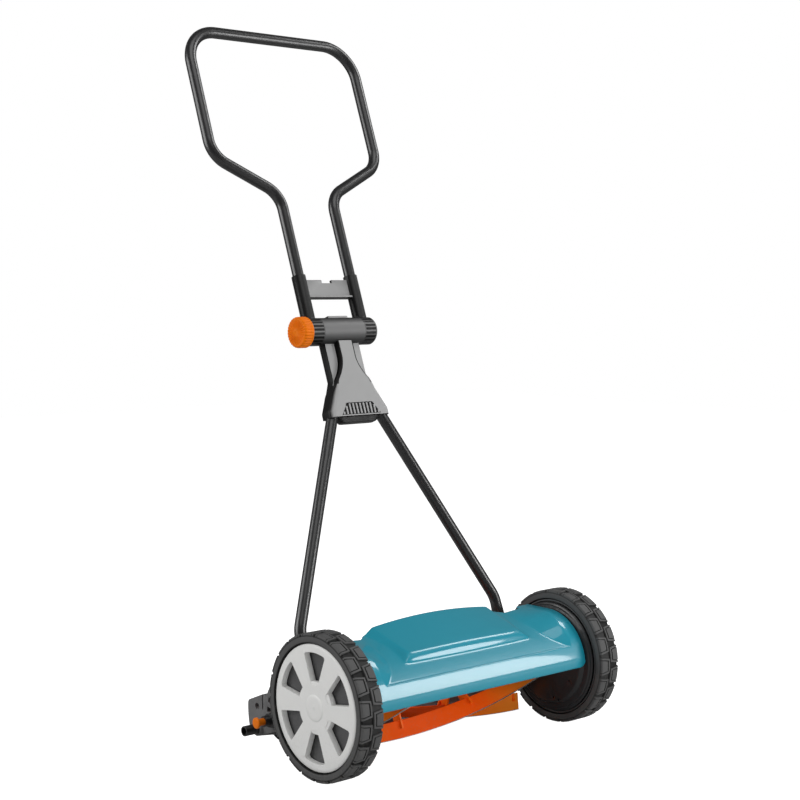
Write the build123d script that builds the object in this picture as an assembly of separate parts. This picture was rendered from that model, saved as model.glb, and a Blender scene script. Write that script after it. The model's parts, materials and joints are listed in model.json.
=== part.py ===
from build123d import *
from math import acos, cos, pi, radians, sin, tan
import os

# Hand reel mower with a geared five-blade reel, rear roller and folding handle.
# Millimetres. Every piece is modelled about the wheel axle: X across the mower
# with the clamp knob at -X, the front at -Y, Z up. At the end all pieces move so
# that the origin lies on the ground under the middle of the mower's box.

# Widths, all from the length of the blades
BLADE_LENGTH = 400.0
PLATE_CLEAR = 16.0
TYRE_STANDOFF = 13.2
ARM_OFFSET = 3.0
LUG_INSET = 8.5
HOOD_OVERLAP = 6.0
ROLLER_INSET = 22.0
AXLE_TUBE_REACH = 27.0
LATCH_REACH_X = 31.0
SPIDER_INSET = 10.0

# Wheels
TYRE_DEPTH = 15.6
TYRE_W = 41.6
LUG_HEIGHT = 2.8
LUGS_PER_ROW = 20
LUG_FILL = 0.68
LUG_TAPER = 1.4
TYRE_SHOULDER = 3.0
RIM_WALL = 2.4
RIM_INSET = 1.8
WEB_T = 4.0
WEB_SETBACK = 12.8
HUB_R = 16.0
HUB_PROUD = 2.0
HUB_PLAY = 1.0
AXLE_R = 7.0
BUSH_WALL = 2.0
AXLE_HEAD_T = 6.0
AXLE_HEAD_WALL = 4.0
AXLE_TAIL = 8.0
CLIP_T = 1.6
CLIP_WALL = 5.0
CAP_MARGIN = 0.4
CAP_DEPTH = 10.0
CAP_SKIN = 2.7
CAP_SETBACK = 1.2
CAP_BOSS_R = 19.6
CAP_BOSS_H = 1.4
CAP_RING_R = 38.5
CAP_RING_WALL = 2.0
WINDOWS = 6
WINDOW_IN_R = 33.0
WINDOW_RIM = 12.0
WINDOW_IN_W = 14.0
WINDOW_OUT_W = 48.0
WINDOW_WALL = 2.2
WINDOW_CORNER = 3.5

# Gear drive: an internal ring gear in each wheel drives a pinion on the reel shaft
MODULE = 2.0
RING_TEETH = 86
PINION_TEETH = 14
PRESSURE_ANGLE = 20.0
RING_ADDENDUM = 0.8
RING_BACKING = 2.5
PINION_ADDENDUM = 0.9
DEDENDUM = 1.25
GEAR_W = 14.0
BACKLASH = 0.45
GEAR_SETBACK = 21.0
KEY_T = 3.0
KEY_LENGTH = 17.0
KEY_INSET = 3.0
PINION_INSET = 0.5

# Reel
REEL_DROP_ANGLE = -19.2
REEL_R = 72.8
BLADES = 5
BLADE_W = 28.0
BLADE_T = 2.6
BLADE_START = -53.4
BLADE_TWIST = 0.2553
BLADE_LEAN = 10.0
BLADE_STATIONS = 9
SPIDERS = 4
SPIDER_T = 3.0
SPIDER_HUB_R = 15.0
SPIDER_ARM_W = 17.0
SPIDER_REACH = 13.0
SPIDER_TAB = 11.0
SPIDER_TAB_T = 3.0
SHAFT_PAST_BLADE = 3.0
SHAFT_R = 8.0
JOURNAL_R = 6.0
SHAFT_TIP = 2.0
BEARING_R = 14.0
BEARING_IN = 7.0
BEARING_OUT = 9.0
BEARING_FLANGE = 3.0
BEARING_FLANGE_T = 2.0

# Side plates
PLATE_T = 6.0
DISH_CLEAR = 1.0
DISH_SEAT_IN = 13.5
DISH_FLAT_IN = 18.0
DISH_SEAT_STEP = 7.0
BEAD_H = 7.0
BEAD_W = 3.4
BOSS_R = 14.0
STRUT_R = 22.0
RIB = 2.0
AXLE_BOSS_H = 11.0
AXLE_SEAT = 4.0
BEARING_BOSS_WALL = 5.0
BEARING_ARM_WALL = 12.0
LEDGE_W = 6.0
LEDGE_REACH = 9.0
LEDGE_START = 10.0
DISH_HOLE_R = 1.6
DISH_HOLES = ((-50.0, -30.0), (-16.0, -63.0), (-27.0, -66.0), (40.0, -55.0))

# Hood
HOOD_R = 81.0
HOOD_WALL = 2.0
HOOD_BACK = 46.0
HOOD_NOTCH_W = 40.0
HOOD_NOTCH_END = 34.0
HOOD_NOTCH_DEPTH = 12.0
PANEL_STEP = 1.5
PANEL_FRONT_ANGLE = 25.5
PANEL_BACK_Z = 79.0
PANEL_SWELL = 7.0
PANEL_FLAT_INSET = 70.0
PANEL_END_INSET = 17.0
BULGE_BACK_W = 260.0
BULGE_FRONT_W = 238.0
BULGE_FLARE = 1.3
BULGE_FLOOR_Z = 30.0
BULGE_CREST_Z = 97.5
BULGE_EDGE_Z = 90.0
BULGE_ARCH = 2.0
BULGE_FRONT_Y = -36.0
BULGE_FRONT_Z = 64.0
BULGE_FOOT_Z = 44.0
BULGE_SLOPE = 18.0
LIP_R = 2.4

# Bed knife, its carrier and the front tie bar
KNIFE_ANGLE = -64.8
KNIFE_GAP = 0.4
KNIFE_W = 30.0
KNIFE_T = 3.0
KNIFE_BARE = 9.0
KNIFE_BEVEL = 4.0
KNIFE_EDGE = 1.0
KNIFE_SCREWS = 5
KNIFE_SCREW_R = 3.0
KNIFE_HEAD_R = 5.0
KNIFE_HEAD_T = 2.6
KNIFE_SCREW_SPAN = 0.92
CARRIER_GAP = 3.2
CARRIER_T = 3.0
CARRIER_TOP_ANGLE = -8.0
CARRIER_FOOT_ANGLE = -52.0
CARRIER_END_GAP = 0.1
CARRIER_SHOULDER = 45.0
BED_BOLT_R = 2.5
BED_BOSS_R = 6.0
BED_BOLT_Y = 116.0
BED_GAP = 1.0
BED_BOLT_GRIP = 14.0
TIE_R = 6.0
TIE_Y = -36.0
TIE_Z = 39.0
TIE_SEAT = 8.0
TIE_WALL = 4.0

# Rear roller and its height arms
ARM_PIVOT_Y = 118.0
ARM_PIVOT_Z = -52.0
ARM_LENGTH = 92.8
ARM_ANGLE = -18.5
ARM_T = 8.0
ARM_HALF_W = 9.5
ARM_HUB_R = 16.0
ARM_CLEAR = 1.5
COMB_R = 72.0
COMB_STEPS = 4
COMB_STEP = 14.0
COMB_TOP = 40.0
COMB_HEEL = 0.7
LATCH_REACH = 53.8
LATCH_ANGLE = -9.6
NOTCH_W = 7.8
NOTCH_FLOOR = 53.4
NOTCH_END = 66.0
TAIL_R = 116.0
TAIL_LOW = -17.0
TAIL_HIGH = 5.2
TAIL_CREST_R = 80.0
TAIL_CREST = 20.0
TAIL_ROUND = 7.0
TAIL_HOLE_R = 5.0
TAIL_HOLE_REACH = 92.0
TAIL_HOLE_ANGLE = 3.0
TAIL_SLIT = 2.6
TAIL_SLIT_REACH = 77.5
TAIL_SLIT_FOOT = 2.0
ROLLER_WALL = 3.0
ROLLER_AXLE_R = 8.0
ROLLER_AXLE_BORE = 6.0
ROLLER_BUSH_R = 12.0
ROLLER_BUSH_L = 20.0
ROLLER_HUB_WALL = 3.0
ROLLER_DISC = 4.0
ROLLER_ROUND = 2.0
CONE_SMALL_R = 11.5
CONE_LARGE_R = 16.0
CONE_ROUND = 4.0
CONE_PROUD = 3.0
CONE_PLAY = 1.0
PIVOT_BOLT_R = 5.0
BOLT_HEAD_R = 9.0
BOLT_HEAD_T = 3.0

# Height latches
LATCH_PIN_R = 3.5
LATCH_STEM_R = 5.5
LATCH_HEAD_R = 8.6
LATCH_HEAD_T = 4.5
LATCH_TRAVEL = 8.0
LATCH_PLAY = 0.8
LATCH_CHAMFER = 0.7
LATCH_PIN_GRIP = 4.0
LATCH_GUIDE_L = 15.0
LATCH_GUIDE_WALL = 3.0

# Handle: one plane that leans back from the pivots
PIVOT_Y = 89.7
PIVOT_Z = 20.0
HANDLE_LEAN = 20.0
TUBE_R = 9.5
TUBE_WALL = 1.6
LUG_T = 5.0
LUG_W = 25.0
LUG_LENGTH = 34.0
LUG_BLEND = 24.0
BEND_S = 70.0
BEND_R = 45.0
BARREL_S = 545.5
BARREL_R = 23.0
KNUCKLE_HALF = 43.0
KNUCKLE_END = 67.0
SOCKET_S = -138.0
SOCKET_X = 47.7
SOCKET_DEPTH = 43.0
SOCKET_WALL = 3.2
SOCKET_COLLAR = 4.0
SPINE_HALF_W = 15.5
SPINE_TOP = 12.0
WEB_PLATE_TOP = 5.0
HOUSING_BACK = -11.0
HOUSING_HALF_W = 36.0
HOUSING_WAIST = -86.0
GRILLE_SLOTS = 11
GRILLE_TOP = -122.0
GRILLE_FOOT = -143.0
GRILLE_TOP_HALF_W = 28.0
GRILLE_FOOT_HALF_W = 40.0
GRILLE_DEPTH = 5.0
GRILLE_MARGIN = 3.0
FOOT_LIP = 12.0
FOOT_LIP_INSET = 14.0
FOOT_LIP_TAPER = 10.0
SPINE_NECK = -46.0
SPINE_FLARE = 5.0
SPINE_FLARE_DROP = 22.0
SPINE_INSET = 3.0
RIDGE_LENGTH = 41.0
RIDGE_W = 12.0
RIDGE_H = 5.0
RIDGE_X = 3.5
NECK_X = 55.0
SLEEVE_WALL = 2.3
SLEEVE_TOP = 97.0
SLEEVE_FLOOR = 26.0
WEB_FOOT = 60.0
WEB_TOP = 90.0
WEB_PLATE_T = 5.0
WEB_LIP = 3.0
WEB_LIP_W = 13.0
WEB_NOTCH_W = 21.0
WEB_NOTCH = 5.5
SHOULDER_S = 242.0
UPRIGHT_S = 305.0
UPRIGHT_X = 176.0
LOOP_TOP_S = 530.0
LOOP_CORNER_R = 60.0
KNURL_SLOTS = 22
KNURL_W = 3.0
KNURL_DEPTH = 2.6
KNURL_MARGIN = 1.5
CLAMP_BOLT_R = 5.0
KNOB_R = 25.5
KNOB_LENGTH = 19.0
KNOB_FLUTES = 30
FLUTE_R = 1.7
FLUTE_RISE = 0.5
FLUTE_END = 2.5
KNOB_ROUND = 1.5
BARREL_CAP = 4.0
BOLT_POCKET = 10.0
POCKET_PLAY = 1.0
BOLT_END = 5.0

# Clearances
RUN = 0.05
SLACK = 0.3
FIT = 0.02
WELD = 1.0
OVERRUN = 20.0

# Places worked out from the sizes above
BLADE_END = BLADE_LENGTH / 2
INNER_X = BLADE_END + PLATE_CLEAR
TRACK = 2 * (INNER_X + TYRE_STANDOFF) + TYRE_W
HOOD_LENGTH = 2 * (INNER_X + HOOD_OVERLAP)
LUG_X = INNER_X - LUG_INSET
SPIDER_SPAN = BLADE_LENGTH - 2 * SPIDER_INSET
SEAT_X = INNER_X + DISH_SEAT_STEP
HUB_IN_X = SEAT_X + AXLE_BOSS_H + HUB_PLAY
ARM_PLANE_X = INNER_X + ARM_OFFSET
ROLLER_LENGTH = BLADE_LENGTH - 2 * ROLLER_INSET
ROLLER_AXLE_LENGTH = 2 * (ARM_PLANE_X + AXLE_TUBE_REACH)
LATCH_END = ARM_PLANE_X + LATCH_REACH_X
PLATE_OUT_X = ARM_PLANE_X + PLATE_T
TYRE_IN_X = TRACK / 2 - TYRE_W / 2
TYRE_OUT_X = TRACK / 2 + TYRE_W / 2
RING_PITCH_R = MODULE * RING_TEETH / 2
RING_ROOT_R = RING_PITCH_R + DEDENDUM * MODULE
DRUM_IN_R = RING_ROOT_R + RING_BACKING
TYRE_SEAT_R = DRUM_IN_R + RIM_WALL
TYRE_R = TYRE_SEAT_R + TYRE_DEPTH
CAP_R = TYRE_SEAT_R - CAP_MARGIN
WINDOW_OUT_R = CAP_R - WINDOW_RIM
DISH_BEAD_R = DRUM_IN_R - DISH_CLEAR
DISH_SEAT_R = DISH_BEAD_R - DISH_SEAT_IN
DISH_FLAT_R = DISH_BEAD_R - DISH_FLAT_IN
WEB_OUT_X = TYRE_OUT_X - WEB_SETBACK
WEB_IN_X = WEB_OUT_X - WEB_T
GEAR_IN_X = TYRE_OUT_X - GEAR_SETBACK - GEAR_W - SLACK
CENTRE_DISTANCE = MODULE * (RING_TEETH - PINION_TEETH) / 2
REEL_Y = CENTRE_DISTANCE * cos(radians(REEL_DROP_ANGLE))
REEL_Z = CENTRE_DISTANCE * sin(radians(REEL_DROP_ANGLE))
ROLLER_Y = ARM_PIVOT_Y + ARM_LENGTH * cos(radians(ARM_ANGLE))
ROLLER_Z = ARM_PIVOT_Z + ARM_LENGTH * sin(radians(ARM_ANGLE))
ROLLER_R = ROLLER_Z + TYRE_R
LATCH_Y = ARM_PIVOT_Y + LATCH_REACH * cos(radians(LATCH_ANGLE))
LATCH_Z = ARM_PIVOT_Z + LATCH_REACH * sin(radians(LATCH_ANGLE))
ARM_OUT_X = ARM_PLANE_X - ARM_CLEAR
ARM_IN_X = ARM_OUT_X - ARM_T
KNIFE_Y = REEL_Y + (REEL_R + KNIFE_GAP) * cos(radians(KNIFE_ANGLE))
KNIFE_Z = REEL_Z + (REEL_R + KNIFE_GAP) * sin(radians(KNIFE_ANGLE))
KNIFE_SCREW_Y = KNIFE_Y + (KNIFE_W + KNIFE_BARE) / 2
CARRIER_R = REEL_R + CARRIER_GAP
HANDLE = Plane(
    origin=(0, PIVOT_Y, PIVOT_Z),
    x_dir=(1, 0, 0),
    z_dir=(0, -cos(radians(HANDLE_LEAN)), sin(radians(HANDLE_LEAN))),
)
HANDLE_BACK_Y = PIVOT_Y + (BARREL_S + LOOP_TOP_S) * sin(radians(HANDLE_LEAN)) + TUBE_R
GROUND = Pos(0, (TYRE_R - HANDLE_BACK_Y) / 2, TYRE_R)


def turned(points, y=0.0, z=0.0):
    """Solid turned about a line along X at (y, z); points are (x, radius)."""
    face = make_face(Polyline(*points, close=True))
    return Pos(0, y, z) * revolve(face, Axis.X, 360)


def rod(x0, x1, r, y=0.0, z=0.0):
    """Round bar along X."""
    return turned([(x0, 0), (x1, 0), (x1, r), (x0, r)], y, z)


def sleeve(x0, x1, r_out, r_in, y=0.0, z=0.0):
    """Hollow round bar along X."""
    return turned([(x0, r_in), (x1, r_in), (x1, r_out), (x0, r_out)], y, z)


def slab(sketch, x0, x1):
    """Sketch drawn as (y, z), carried along X from x0 to x1."""
    return extrude(Pos(x0, 0, 0) * (Plane.YZ * sketch), x1 - x0, dir=(1, 0, 0))


def link(y0, z0, r0, y1, z1, r1, x0, x1):
    """Flat bar with round ends between two centres."""
    ends = Pos(y0, z0) * Circle(r0) + Pos(y1, z1) * Circle(r1)
    return slab(make_hull(ends.edges()), x0, x1)


def both_sides(name, part):
    """The right piece and its mirror image on the left."""
    return {name + "_right": part, name + "_left": mirror(part, about=Plane.YZ)}


def polar(r, angle):
    """Point (y, z) at a radius and an angle from +Y towards +Z."""
    return r * cos(radians(angle)), r * sin(radians(angle))


def involute_half_angle(teeth, r, half_width):
    """Half of a tooth's angle at radius r, in radians, from its half width at the pitch circle."""
    pitch_r = MODULE * teeth / 2
    base_r = pitch_r * cos(radians(PRESSURE_ANGLE))
    at_pitch = tan(radians(PRESSURE_ANGLE)) - radians(PRESSURE_ANGLE)
    turn = acos(min(1.0, base_r / max(r, base_r)))
    return half_width / pitch_r + at_pitch - (tan(turn) - turn)


def gear_face(teeth, root_r, tip_r, half_width, flank_points):
    """Gear outline in (y, z) with a tooth on the line from the axle to the reel."""
    points = []
    for tooth in range(teeth):
        middle = radians(REEL_DROP_ANGLE) + 2 * pi * tooth / teeth
        radii = [root_r + (tip_r - root_r) * i / (flank_points - 1) for i in range(flank_points)]
        for r in radii:
            turn = middle - involute_half_angle(teeth, r, half_width)
            points.append((r * cos(turn), r * sin(turn)))
        for r in reversed(radii):
            turn = middle + involute_half_angle(teeth, r, half_width)
            points.append((r * cos(turn), r * sin(turn)))
    return make_face(Polyline(*points, close=True))


# Wheels


def tyre():
    """Ring with a rounded shoulder and two staggered rows of tapered lugs."""
    base_r = TYRE_R - LUG_HEIGHT
    shoulder = TYRE_SHOULDER
    ring = turned([
        (TYRE_IN_X + RIM_INSET, TYRE_SEAT_R),
        (TYRE_IN_X, TYRE_SEAT_R + shoulder),
        (TYRE_IN_X, base_r - shoulder),
        (TYRE_IN_X + shoulder, base_r),
        (TYRE_OUT_X - shoulder, base_r),
        (TYRE_OUT_X, base_r - shoulder),
        (TYRE_OUT_X, TYRE_SEAT_R + shoulder),
        (TYRE_OUT_X - RIM_INSET, TYRE_SEAT_R),
    ])
    pitch = 360 / LUGS_PER_ROW
    lugs = []
    for edge_x, stagger in ((TYRE_IN_X + WELD, 0), (TYRE_OUT_X - WELD, pitch / 2)):
        wide = lug_face(edge_x, pitch * LUG_FILL / 2, -90 + stagger)
        narrow = lug_face(TRACK / 2, pitch * LUG_FILL / LUG_TAPER / 2, -90 + stagger)
        lug = loft([wide, narrow], ruled=True)
        lugs += [Rot(X=pitch * i) * lug for i in range(LUGS_PER_ROW)]
    return ring + lugs


def lug_face(x, half_angle, middle):
    """Ring sector across one lug."""
    inner = TYRE_R - LUG_HEIGHT - 2 * WELD
    a0, a1 = middle - half_angle, middle + half_angle
    p = [(x, *polar(TYRE_R, a)) for a in (a0, middle, a1)]
    q = [(x, *polar(inner, a)) for a in (a1, a0)]
    arc = ThreePointArc(*p)
    return make_face([arc, Line(p[2], q[0]), Line(q[0], q[1]), Line(q[1], p[0])])


def wheel():
    """Drum, web and hub in one moulding, with the ring gear inside the drum."""
    bush_r = AXLE_R + BUSH_WALL
    drum = sleeve(TYRE_IN_X + RIM_INSET, TYRE_OUT_X - CAP_SETBACK - CAP_SKIN - SLACK, TYRE_SEAT_R, DRUM_IN_R)
    web = sleeve(WEB_IN_X, WEB_OUT_X, DRUM_IN_R + WELD, bush_r)
    hub = sleeve(HUB_IN_X, WEB_OUT_X + HUB_PROUD, HUB_R, bush_r)
    half_space = pi * MODULE / 4 + BACKLASH / 2
    tip_r = RING_PITCH_R - RING_ADDENDUM * MODULE
    spaces = gear_face(RING_TEETH, tip_r, RING_ROOT_R, half_space, 2)
    ring = slab(Circle(DRUM_IN_R + WELD) - spaces, GEAR_IN_X, WEB_IN_X)
    return drum + web + hub + ring


def hubcap():
    """Snap-in cover with six tapered windows and a low centre boss."""
    face_x = TYRE_OUT_X - CAP_SETBACK
    back_x = face_x - CAP_SKIN
    spigot_r = DRUM_IN_R - FIT
    foot_x = face_x - CAP_DEPTH
    shell = turned([
        (face_x + CAP_BOSS_H, 0),
        (face_x + CAP_BOSS_H * 0.85, CAP_BOSS_R * 0.8),
        (face_x + CAP_BOSS_H * 0.35, CAP_BOSS_R * 0.96),
        (face_x - CAP_BOSS_H * 0.15, CAP_BOSS_R),
        (face_x, CAP_BOSS_R * 1.4),
        (face_x, CAP_R - 2 * CAP_SKIN),
        (face_x - CAP_SKIN / 4, CAP_R - CAP_SKIN / 2),
        (back_x + CAP_SKIN / 3, CAP_R),
        (back_x, CAP_R),
        (back_x, spigot_r),
        (foot_x, spigot_r),
        (foot_x, spigot_r - WINDOW_WALL),
        (back_x, spigot_r - WINDOW_WALL),
        (back_x, 0),
    ])
    window = window_face()
    frame = offset(window, WINDOW_WALL)
    for i in range(WINDOWS):
        turn = Rot(X=360 / WINDOWS * i)
        shell += turn * slab(frame, foot_x, face_x - CAP_SKIN / 2)
    for i in range(WINDOWS):
        turn = Rot(X=360 / WINDOWS * i)
        shell -= turn * slab(window, foot_x - WELD, face_x + CAP_BOSS_H + WELD)
    return shell + sleeve(foot_x, back_x + CAP_SKIN / 2, CAP_RING_R, CAP_RING_R - CAP_RING_WALL)


def window_face():
    """Window outline in (y, z), narrow towards the hub, with an arc at the rim."""
    half_in, half_out = WINDOW_IN_W / 2, WINDOW_OUT_W / 2
    shoulder_z = (WINDOW_OUT_R ** 2 - half_out ** 2) ** 0.5
    foot = [(-half_in, WINDOW_IN_R), (half_in, WINDOW_IN_R)]
    top = [(half_out, shoulder_z), (0, WINDOW_OUT_R), (-half_out, shoulder_z)]
    face = make_face([
        Line(foot[0], foot[1]),
        Line(foot[1], top[0]),
        ThreePointArc(*top),
        Line(top[2], foot[0]),
    ])
    return fillet(face.vertices(), WINDOW_CORNER)


def stub_axle():
    """Headed axle that stands out of the side plate and carries the wheel."""
    seat_x = INNER_X - AXLE_SEAT
    head = rod(seat_x - AXLE_HEAD_T, seat_x, AXLE_R + AXLE_HEAD_WALL)
    return head + rod(seat_x, WEB_OUT_X + AXLE_TAIL, AXLE_R)


def wheel_bush():
    """Plain bush pressed into the wheel's hub."""
    return sleeve(HUB_IN_X, WEB_OUT_X + HUB_PROUD, AXLE_R + BUSH_WALL, AXLE_R + RUN)


def axle_clip():
    """Washer and clip that keep the wheel on its axle."""
    x0 = WEB_OUT_X + HUB_PROUD + SLACK
    x1 = x0 + CLIP_T
    washer = sleeve(x0, x1, AXLE_R + CLIP_WALL, AXLE_R)
    return washer + sleeve(x1, x1 + CLIP_T, AXLE_R + CLIP_WALL / 2, AXLE_R)


# Reel


def blade(number):
    """Twisted strip whose outer edge is a helix on the reel's radius."""
    sections = []
    for i in range(BLADE_STATIONS):
        x = -BLADE_END + BLADE_LENGTH * i / (BLADE_STATIONS - 1)
        angle = blade_angle(number, x)
        edge = blade_point(x, REEL_R, angle)
        root_y, root_z = blade_root(angle)
        across = Vector(0, root_z - edge[2], edge[1] - root_y).normalized() * (BLADE_T / 2)
        edge_mid = Vector(*edge)
        root_mid = Vector(x, root_y, root_z)
        corners = [edge_mid + across, edge_mid - across, root_mid - across, root_mid + across]
        sections.append(make_face(Polyline(*corners, close=True)))
    return loft(sections)


def blade_angle(number, x):
    """Angle of a blade's edge at x, from the front up over the reel, in degrees."""
    return BLADE_START + 360 / BLADES * number + BLADE_TWIST * x


def blade_point(x, r, angle):
    """Point of the reel at a radius and a blade angle."""
    return x, REEL_Y - r * cos(radians(angle)), REEL_Z + r * sin(radians(angle))


def blade_root(angle):
    """Inner edge of a blade as (y, z): one blade width from the edge, off the radius by the lean."""
    edge_y, edge_z = blade_point(0, REEL_R, angle)[1:]
    inward = radians(angle - BLADE_LEAN)
    return edge_y + BLADE_W * cos(inward), edge_z - BLADE_W * sin(inward)


def spider(x, blades):
    """Star plate on the shaft with a slotted arm and a weld tab for each blade."""
    tip_r = REEL_R - BLADE_W + SPIDER_REACH
    plate = Pos(REEL_Y, REEL_Z) * Circle(SPIDER_HUB_R)
    tabs = []
    for number in range(BLADES):
        angle = 180 - blade_angle(number, x)
        arm = Pos(tip_r / 2, 0) * Rectangle(tip_r, SPIDER_ARM_W)
        plate += Pos(REEL_Y, REEL_Z) * Rot(Z=angle) * arm
        side = (SPIDER_ARM_W - SPIDER_TAB_T) / 2
        tab = Pos(tip_r - SPIDER_REACH / 2, side) * Rectangle(SPIDER_REACH, SPIDER_TAB_T)
        tabs.append(Pos(REEL_Y, REEL_Z) * Rot(Z=angle) * tab)
    plate -= Pos(REEL_Y, REEL_Z) * Circle(SHAFT_R)
    star = slab(plate, x - SPIDER_T / 2, x + SPIDER_T / 2)
    star += [slab(tab, x - SPIDER_TAB / 2, x + SPIDER_TAB / 2) for tab in tabs]
    for strip in blades:
        star -= strip
    return star


def reel_shaft():
    """Shaft with a thick middle, two journals and a key slot at each end."""
    shoulder = BLADE_END + SHAFT_PAST_BLADE
    tip = GEAR_IN_X + GEAR_W + SHAFT_TIP
    shaft = turned([
        (-tip, 0),
        (-tip, JOURNAL_R),
        (-shoulder, JOURNAL_R),
        (-shoulder, SHAFT_R),
        (shoulder, SHAFT_R),
        (shoulder, JOURNAL_R),
        (tip, JOURNAL_R),
        (tip, 0),
    ], REEL_Y, REEL_Z)
    key = drive_key()
    return shaft - [key, mirror(key, about=Plane.YZ)]


def drive_key():
    """Flat pawl through the shaft that takes the pinion round."""
    outline = Pos(REEL_Y, REEL_Z) * Rectangle(KEY_T, KEY_LENGTH)
    return slab(outline, GEAR_IN_X + KEY_INSET, GEAR_IN_X + GEAR_W - KEY_INSET)


def pinion():
    """Small gear on the end of the reel shaft, pocketed for its pawl."""
    pitch_r = MODULE * PINION_TEETH / 2
    half_tooth = pi * MODULE / 4 - BACKLASH / 2
    tip_r = pitch_r + PINION_ADDENDUM * MODULE
    outline = gear_face(PINION_TEETH, pitch_r - DEDENDUM * MODULE, tip_r, half_tooth, 4)
    gear = slab(Pos(REEL_Y, REEL_Z) * outline, GEAR_IN_X + PINION_INSET, GEAR_IN_X + GEAR_W - PINION_INSET)
    return gear - rod(GEAR_IN_X, GEAR_IN_X + GEAR_W, JOURNAL_R, REEL_Y, REEL_Z) - drive_key()


def reel_bearing():
    """Plain flanged bearing for the reel shaft."""
    x0, x1 = INNER_X - BEARING_IN, INNER_X + BEARING_OUT
    body = sleeve(x0, x1, BEARING_R, JOURNAL_R + RUN, REEL_Y, REEL_Z)
    flange_r = BEARING_R + BEARING_FLANGE
    return body + sleeve(x0 - BEARING_FLANGE_T, x0, flange_r, JOURNAL_R + RUN, REEL_Y, REEL_Z)


# Chassis


def side_plate():
    """Gear dish with a bead that closes the wheel, and a rear arm for the roller."""
    floor_x = INNER_X + PLATE_T
    bead_x = SEAT_X + BEAD_H
    seat_out = DISH_BEAD_R - 5
    plate = turned([
        (INNER_X, 0),
        (INNER_X, DISH_FLAT_R),
        (INNER_X + 3, DISH_FLAT_R + 3),
        (SEAT_X, DISH_SEAT_R),
        (SEAT_X, seat_out),
        (SEAT_X + 3, seat_out + 1),
        (SEAT_X + 3.5, DISH_BEAD_R - 1.5),
        (SEAT_X + 5, DISH_BEAD_R),
        (bead_x - 1, DISH_BEAD_R),
        (bead_x, DISH_BEAD_R - 1),
        (bead_x, DISH_BEAD_R - BEAD_W),
        (SEAT_X + 5, seat_out - 1),
        (SEAT_X + 5, DISH_SEAT_R - 1),
        (floor_x, DISH_FLAT_R - 2),
        (floor_x, 0),
    ])
    x0, x1 = ARM_PLANE_X, PLATE_OUT_X
    plate += link(REEL_Y, REEL_Z, BEARING_R + BEARING_ARM_WALL, ARM_PIVOT_Y, ARM_PIVOT_Z, BOSS_R, x0, x1)
    latch_r = LATCH_STEM_R + LATCH_GUIDE_WALL
    plate += link(ARM_PIVOT_Y, ARM_PIVOT_Z, BOSS_R, LATCH_Y, LATCH_Z, latch_r + RIB, x0, x1)
    plate += link(REEL_Y - BOSS_R, REEL_Z + BEARING_R * 2, STRUT_R, PIVOT_Y, PIVOT_Z, BOSS_R, x0, x1)
    plate += link(ARM_PIVOT_Y, ARM_PIVOT_Z, BOSS_R, BED_BOLT_Y, bed_bolt_z(), BED_BOSS_R + RIB, x0, x1)
    plate += rod(INNER_X - AXLE_SEAT, SEAT_X + AXLE_BOSS_H, HUB_R)
    bearing_out = INNER_X + BEARING_OUT + RIB
    plate += rod(INNER_X - BEARING_IN, bearing_out, BEARING_R + BEARING_BOSS_WALL, REEL_Y, REEL_Z)
    lug_out = LUG_X + LUG_T / 2
    plate += rod(lug_out + SLACK, x1, BOSS_R - RIB, PIVOT_Y, PIVOT_Z)
    plate += rod(ARM_OUT_X + SLACK, x1, BOSS_R - RIB, ARM_PIVOT_Y, ARM_PIVOT_Z)
    plate += rod(ARM_IN_X - BED_GAP, x1, BED_BOSS_R, BED_BOLT_Y, bed_bolt_z())
    plate += rod(x0, x0 + LATCH_GUIDE_L, latch_r, LATCH_Y, LATCH_Z)
    plate += rod(INNER_X - TIE_SEAT, INNER_X + WELD, TIE_R + TIE_WALL, TIE_Y, TIE_Z)
    plate += hood_ledge()
    far_in, far_out = INNER_X - 2 * TIE_SEAT, HUB_IN_X + WELD
    hole_out = x1 + WELD / 2
    plate -= rod(far_in, far_out, AXLE_R)
    plate -= rod(far_in, far_out, BEARING_R, REEL_Y, REEL_Z)
    plate -= rod(far_in, hole_out, PIVOT_BOLT_R, PIVOT_Y, PIVOT_Z)
    plate -= rod(far_in, hole_out, PIVOT_BOLT_R, ARM_PIVOT_Y, ARM_PIVOT_Z)
    plate -= rod(far_in, hole_out, BED_BOLT_R, BED_BOLT_Y, bed_bolt_z())
    plate -= rod(far_in, far_out, LATCH_STEM_R + RUN, LATCH_Y, LATCH_Z)
    plate -= rod(far_in, INNER_X, TIE_R, TIE_Y, TIE_Z)
    for y, z in DISH_HOLES:
        plate -= rod(INNER_X - WELD, INNER_X + PLATE_T / 2, DISH_HOLE_R, y, z)
    return plate


def hood_ledge():
    """Curved step on the side plate that the end of the hood sits on."""
    r = HOOD_R - HOOD_WALL - FIT
    outline = Circle(r) - Circle(r - LEDGE_W)
    wide = 2 * HOOD_R
    outline &= Polygon((0, 0), (-wide, LEDGE_START), (-wide, wide), (-LEDGE_START, wide), align=None)
    return slab(outline, INNER_X - LEDGE_REACH, INNER_X + PLATE_T / 2)


def bed_bolt_z():
    """Height of the bolt that holds the knife carrier, in the middle of its foot."""
    reach = BED_BOLT_Y - REEL_Y
    top = REEL_Z - (CARRIER_R ** 2 - reach ** 2) ** 0.5
    return (top + KNIFE_Z) / 2


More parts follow.
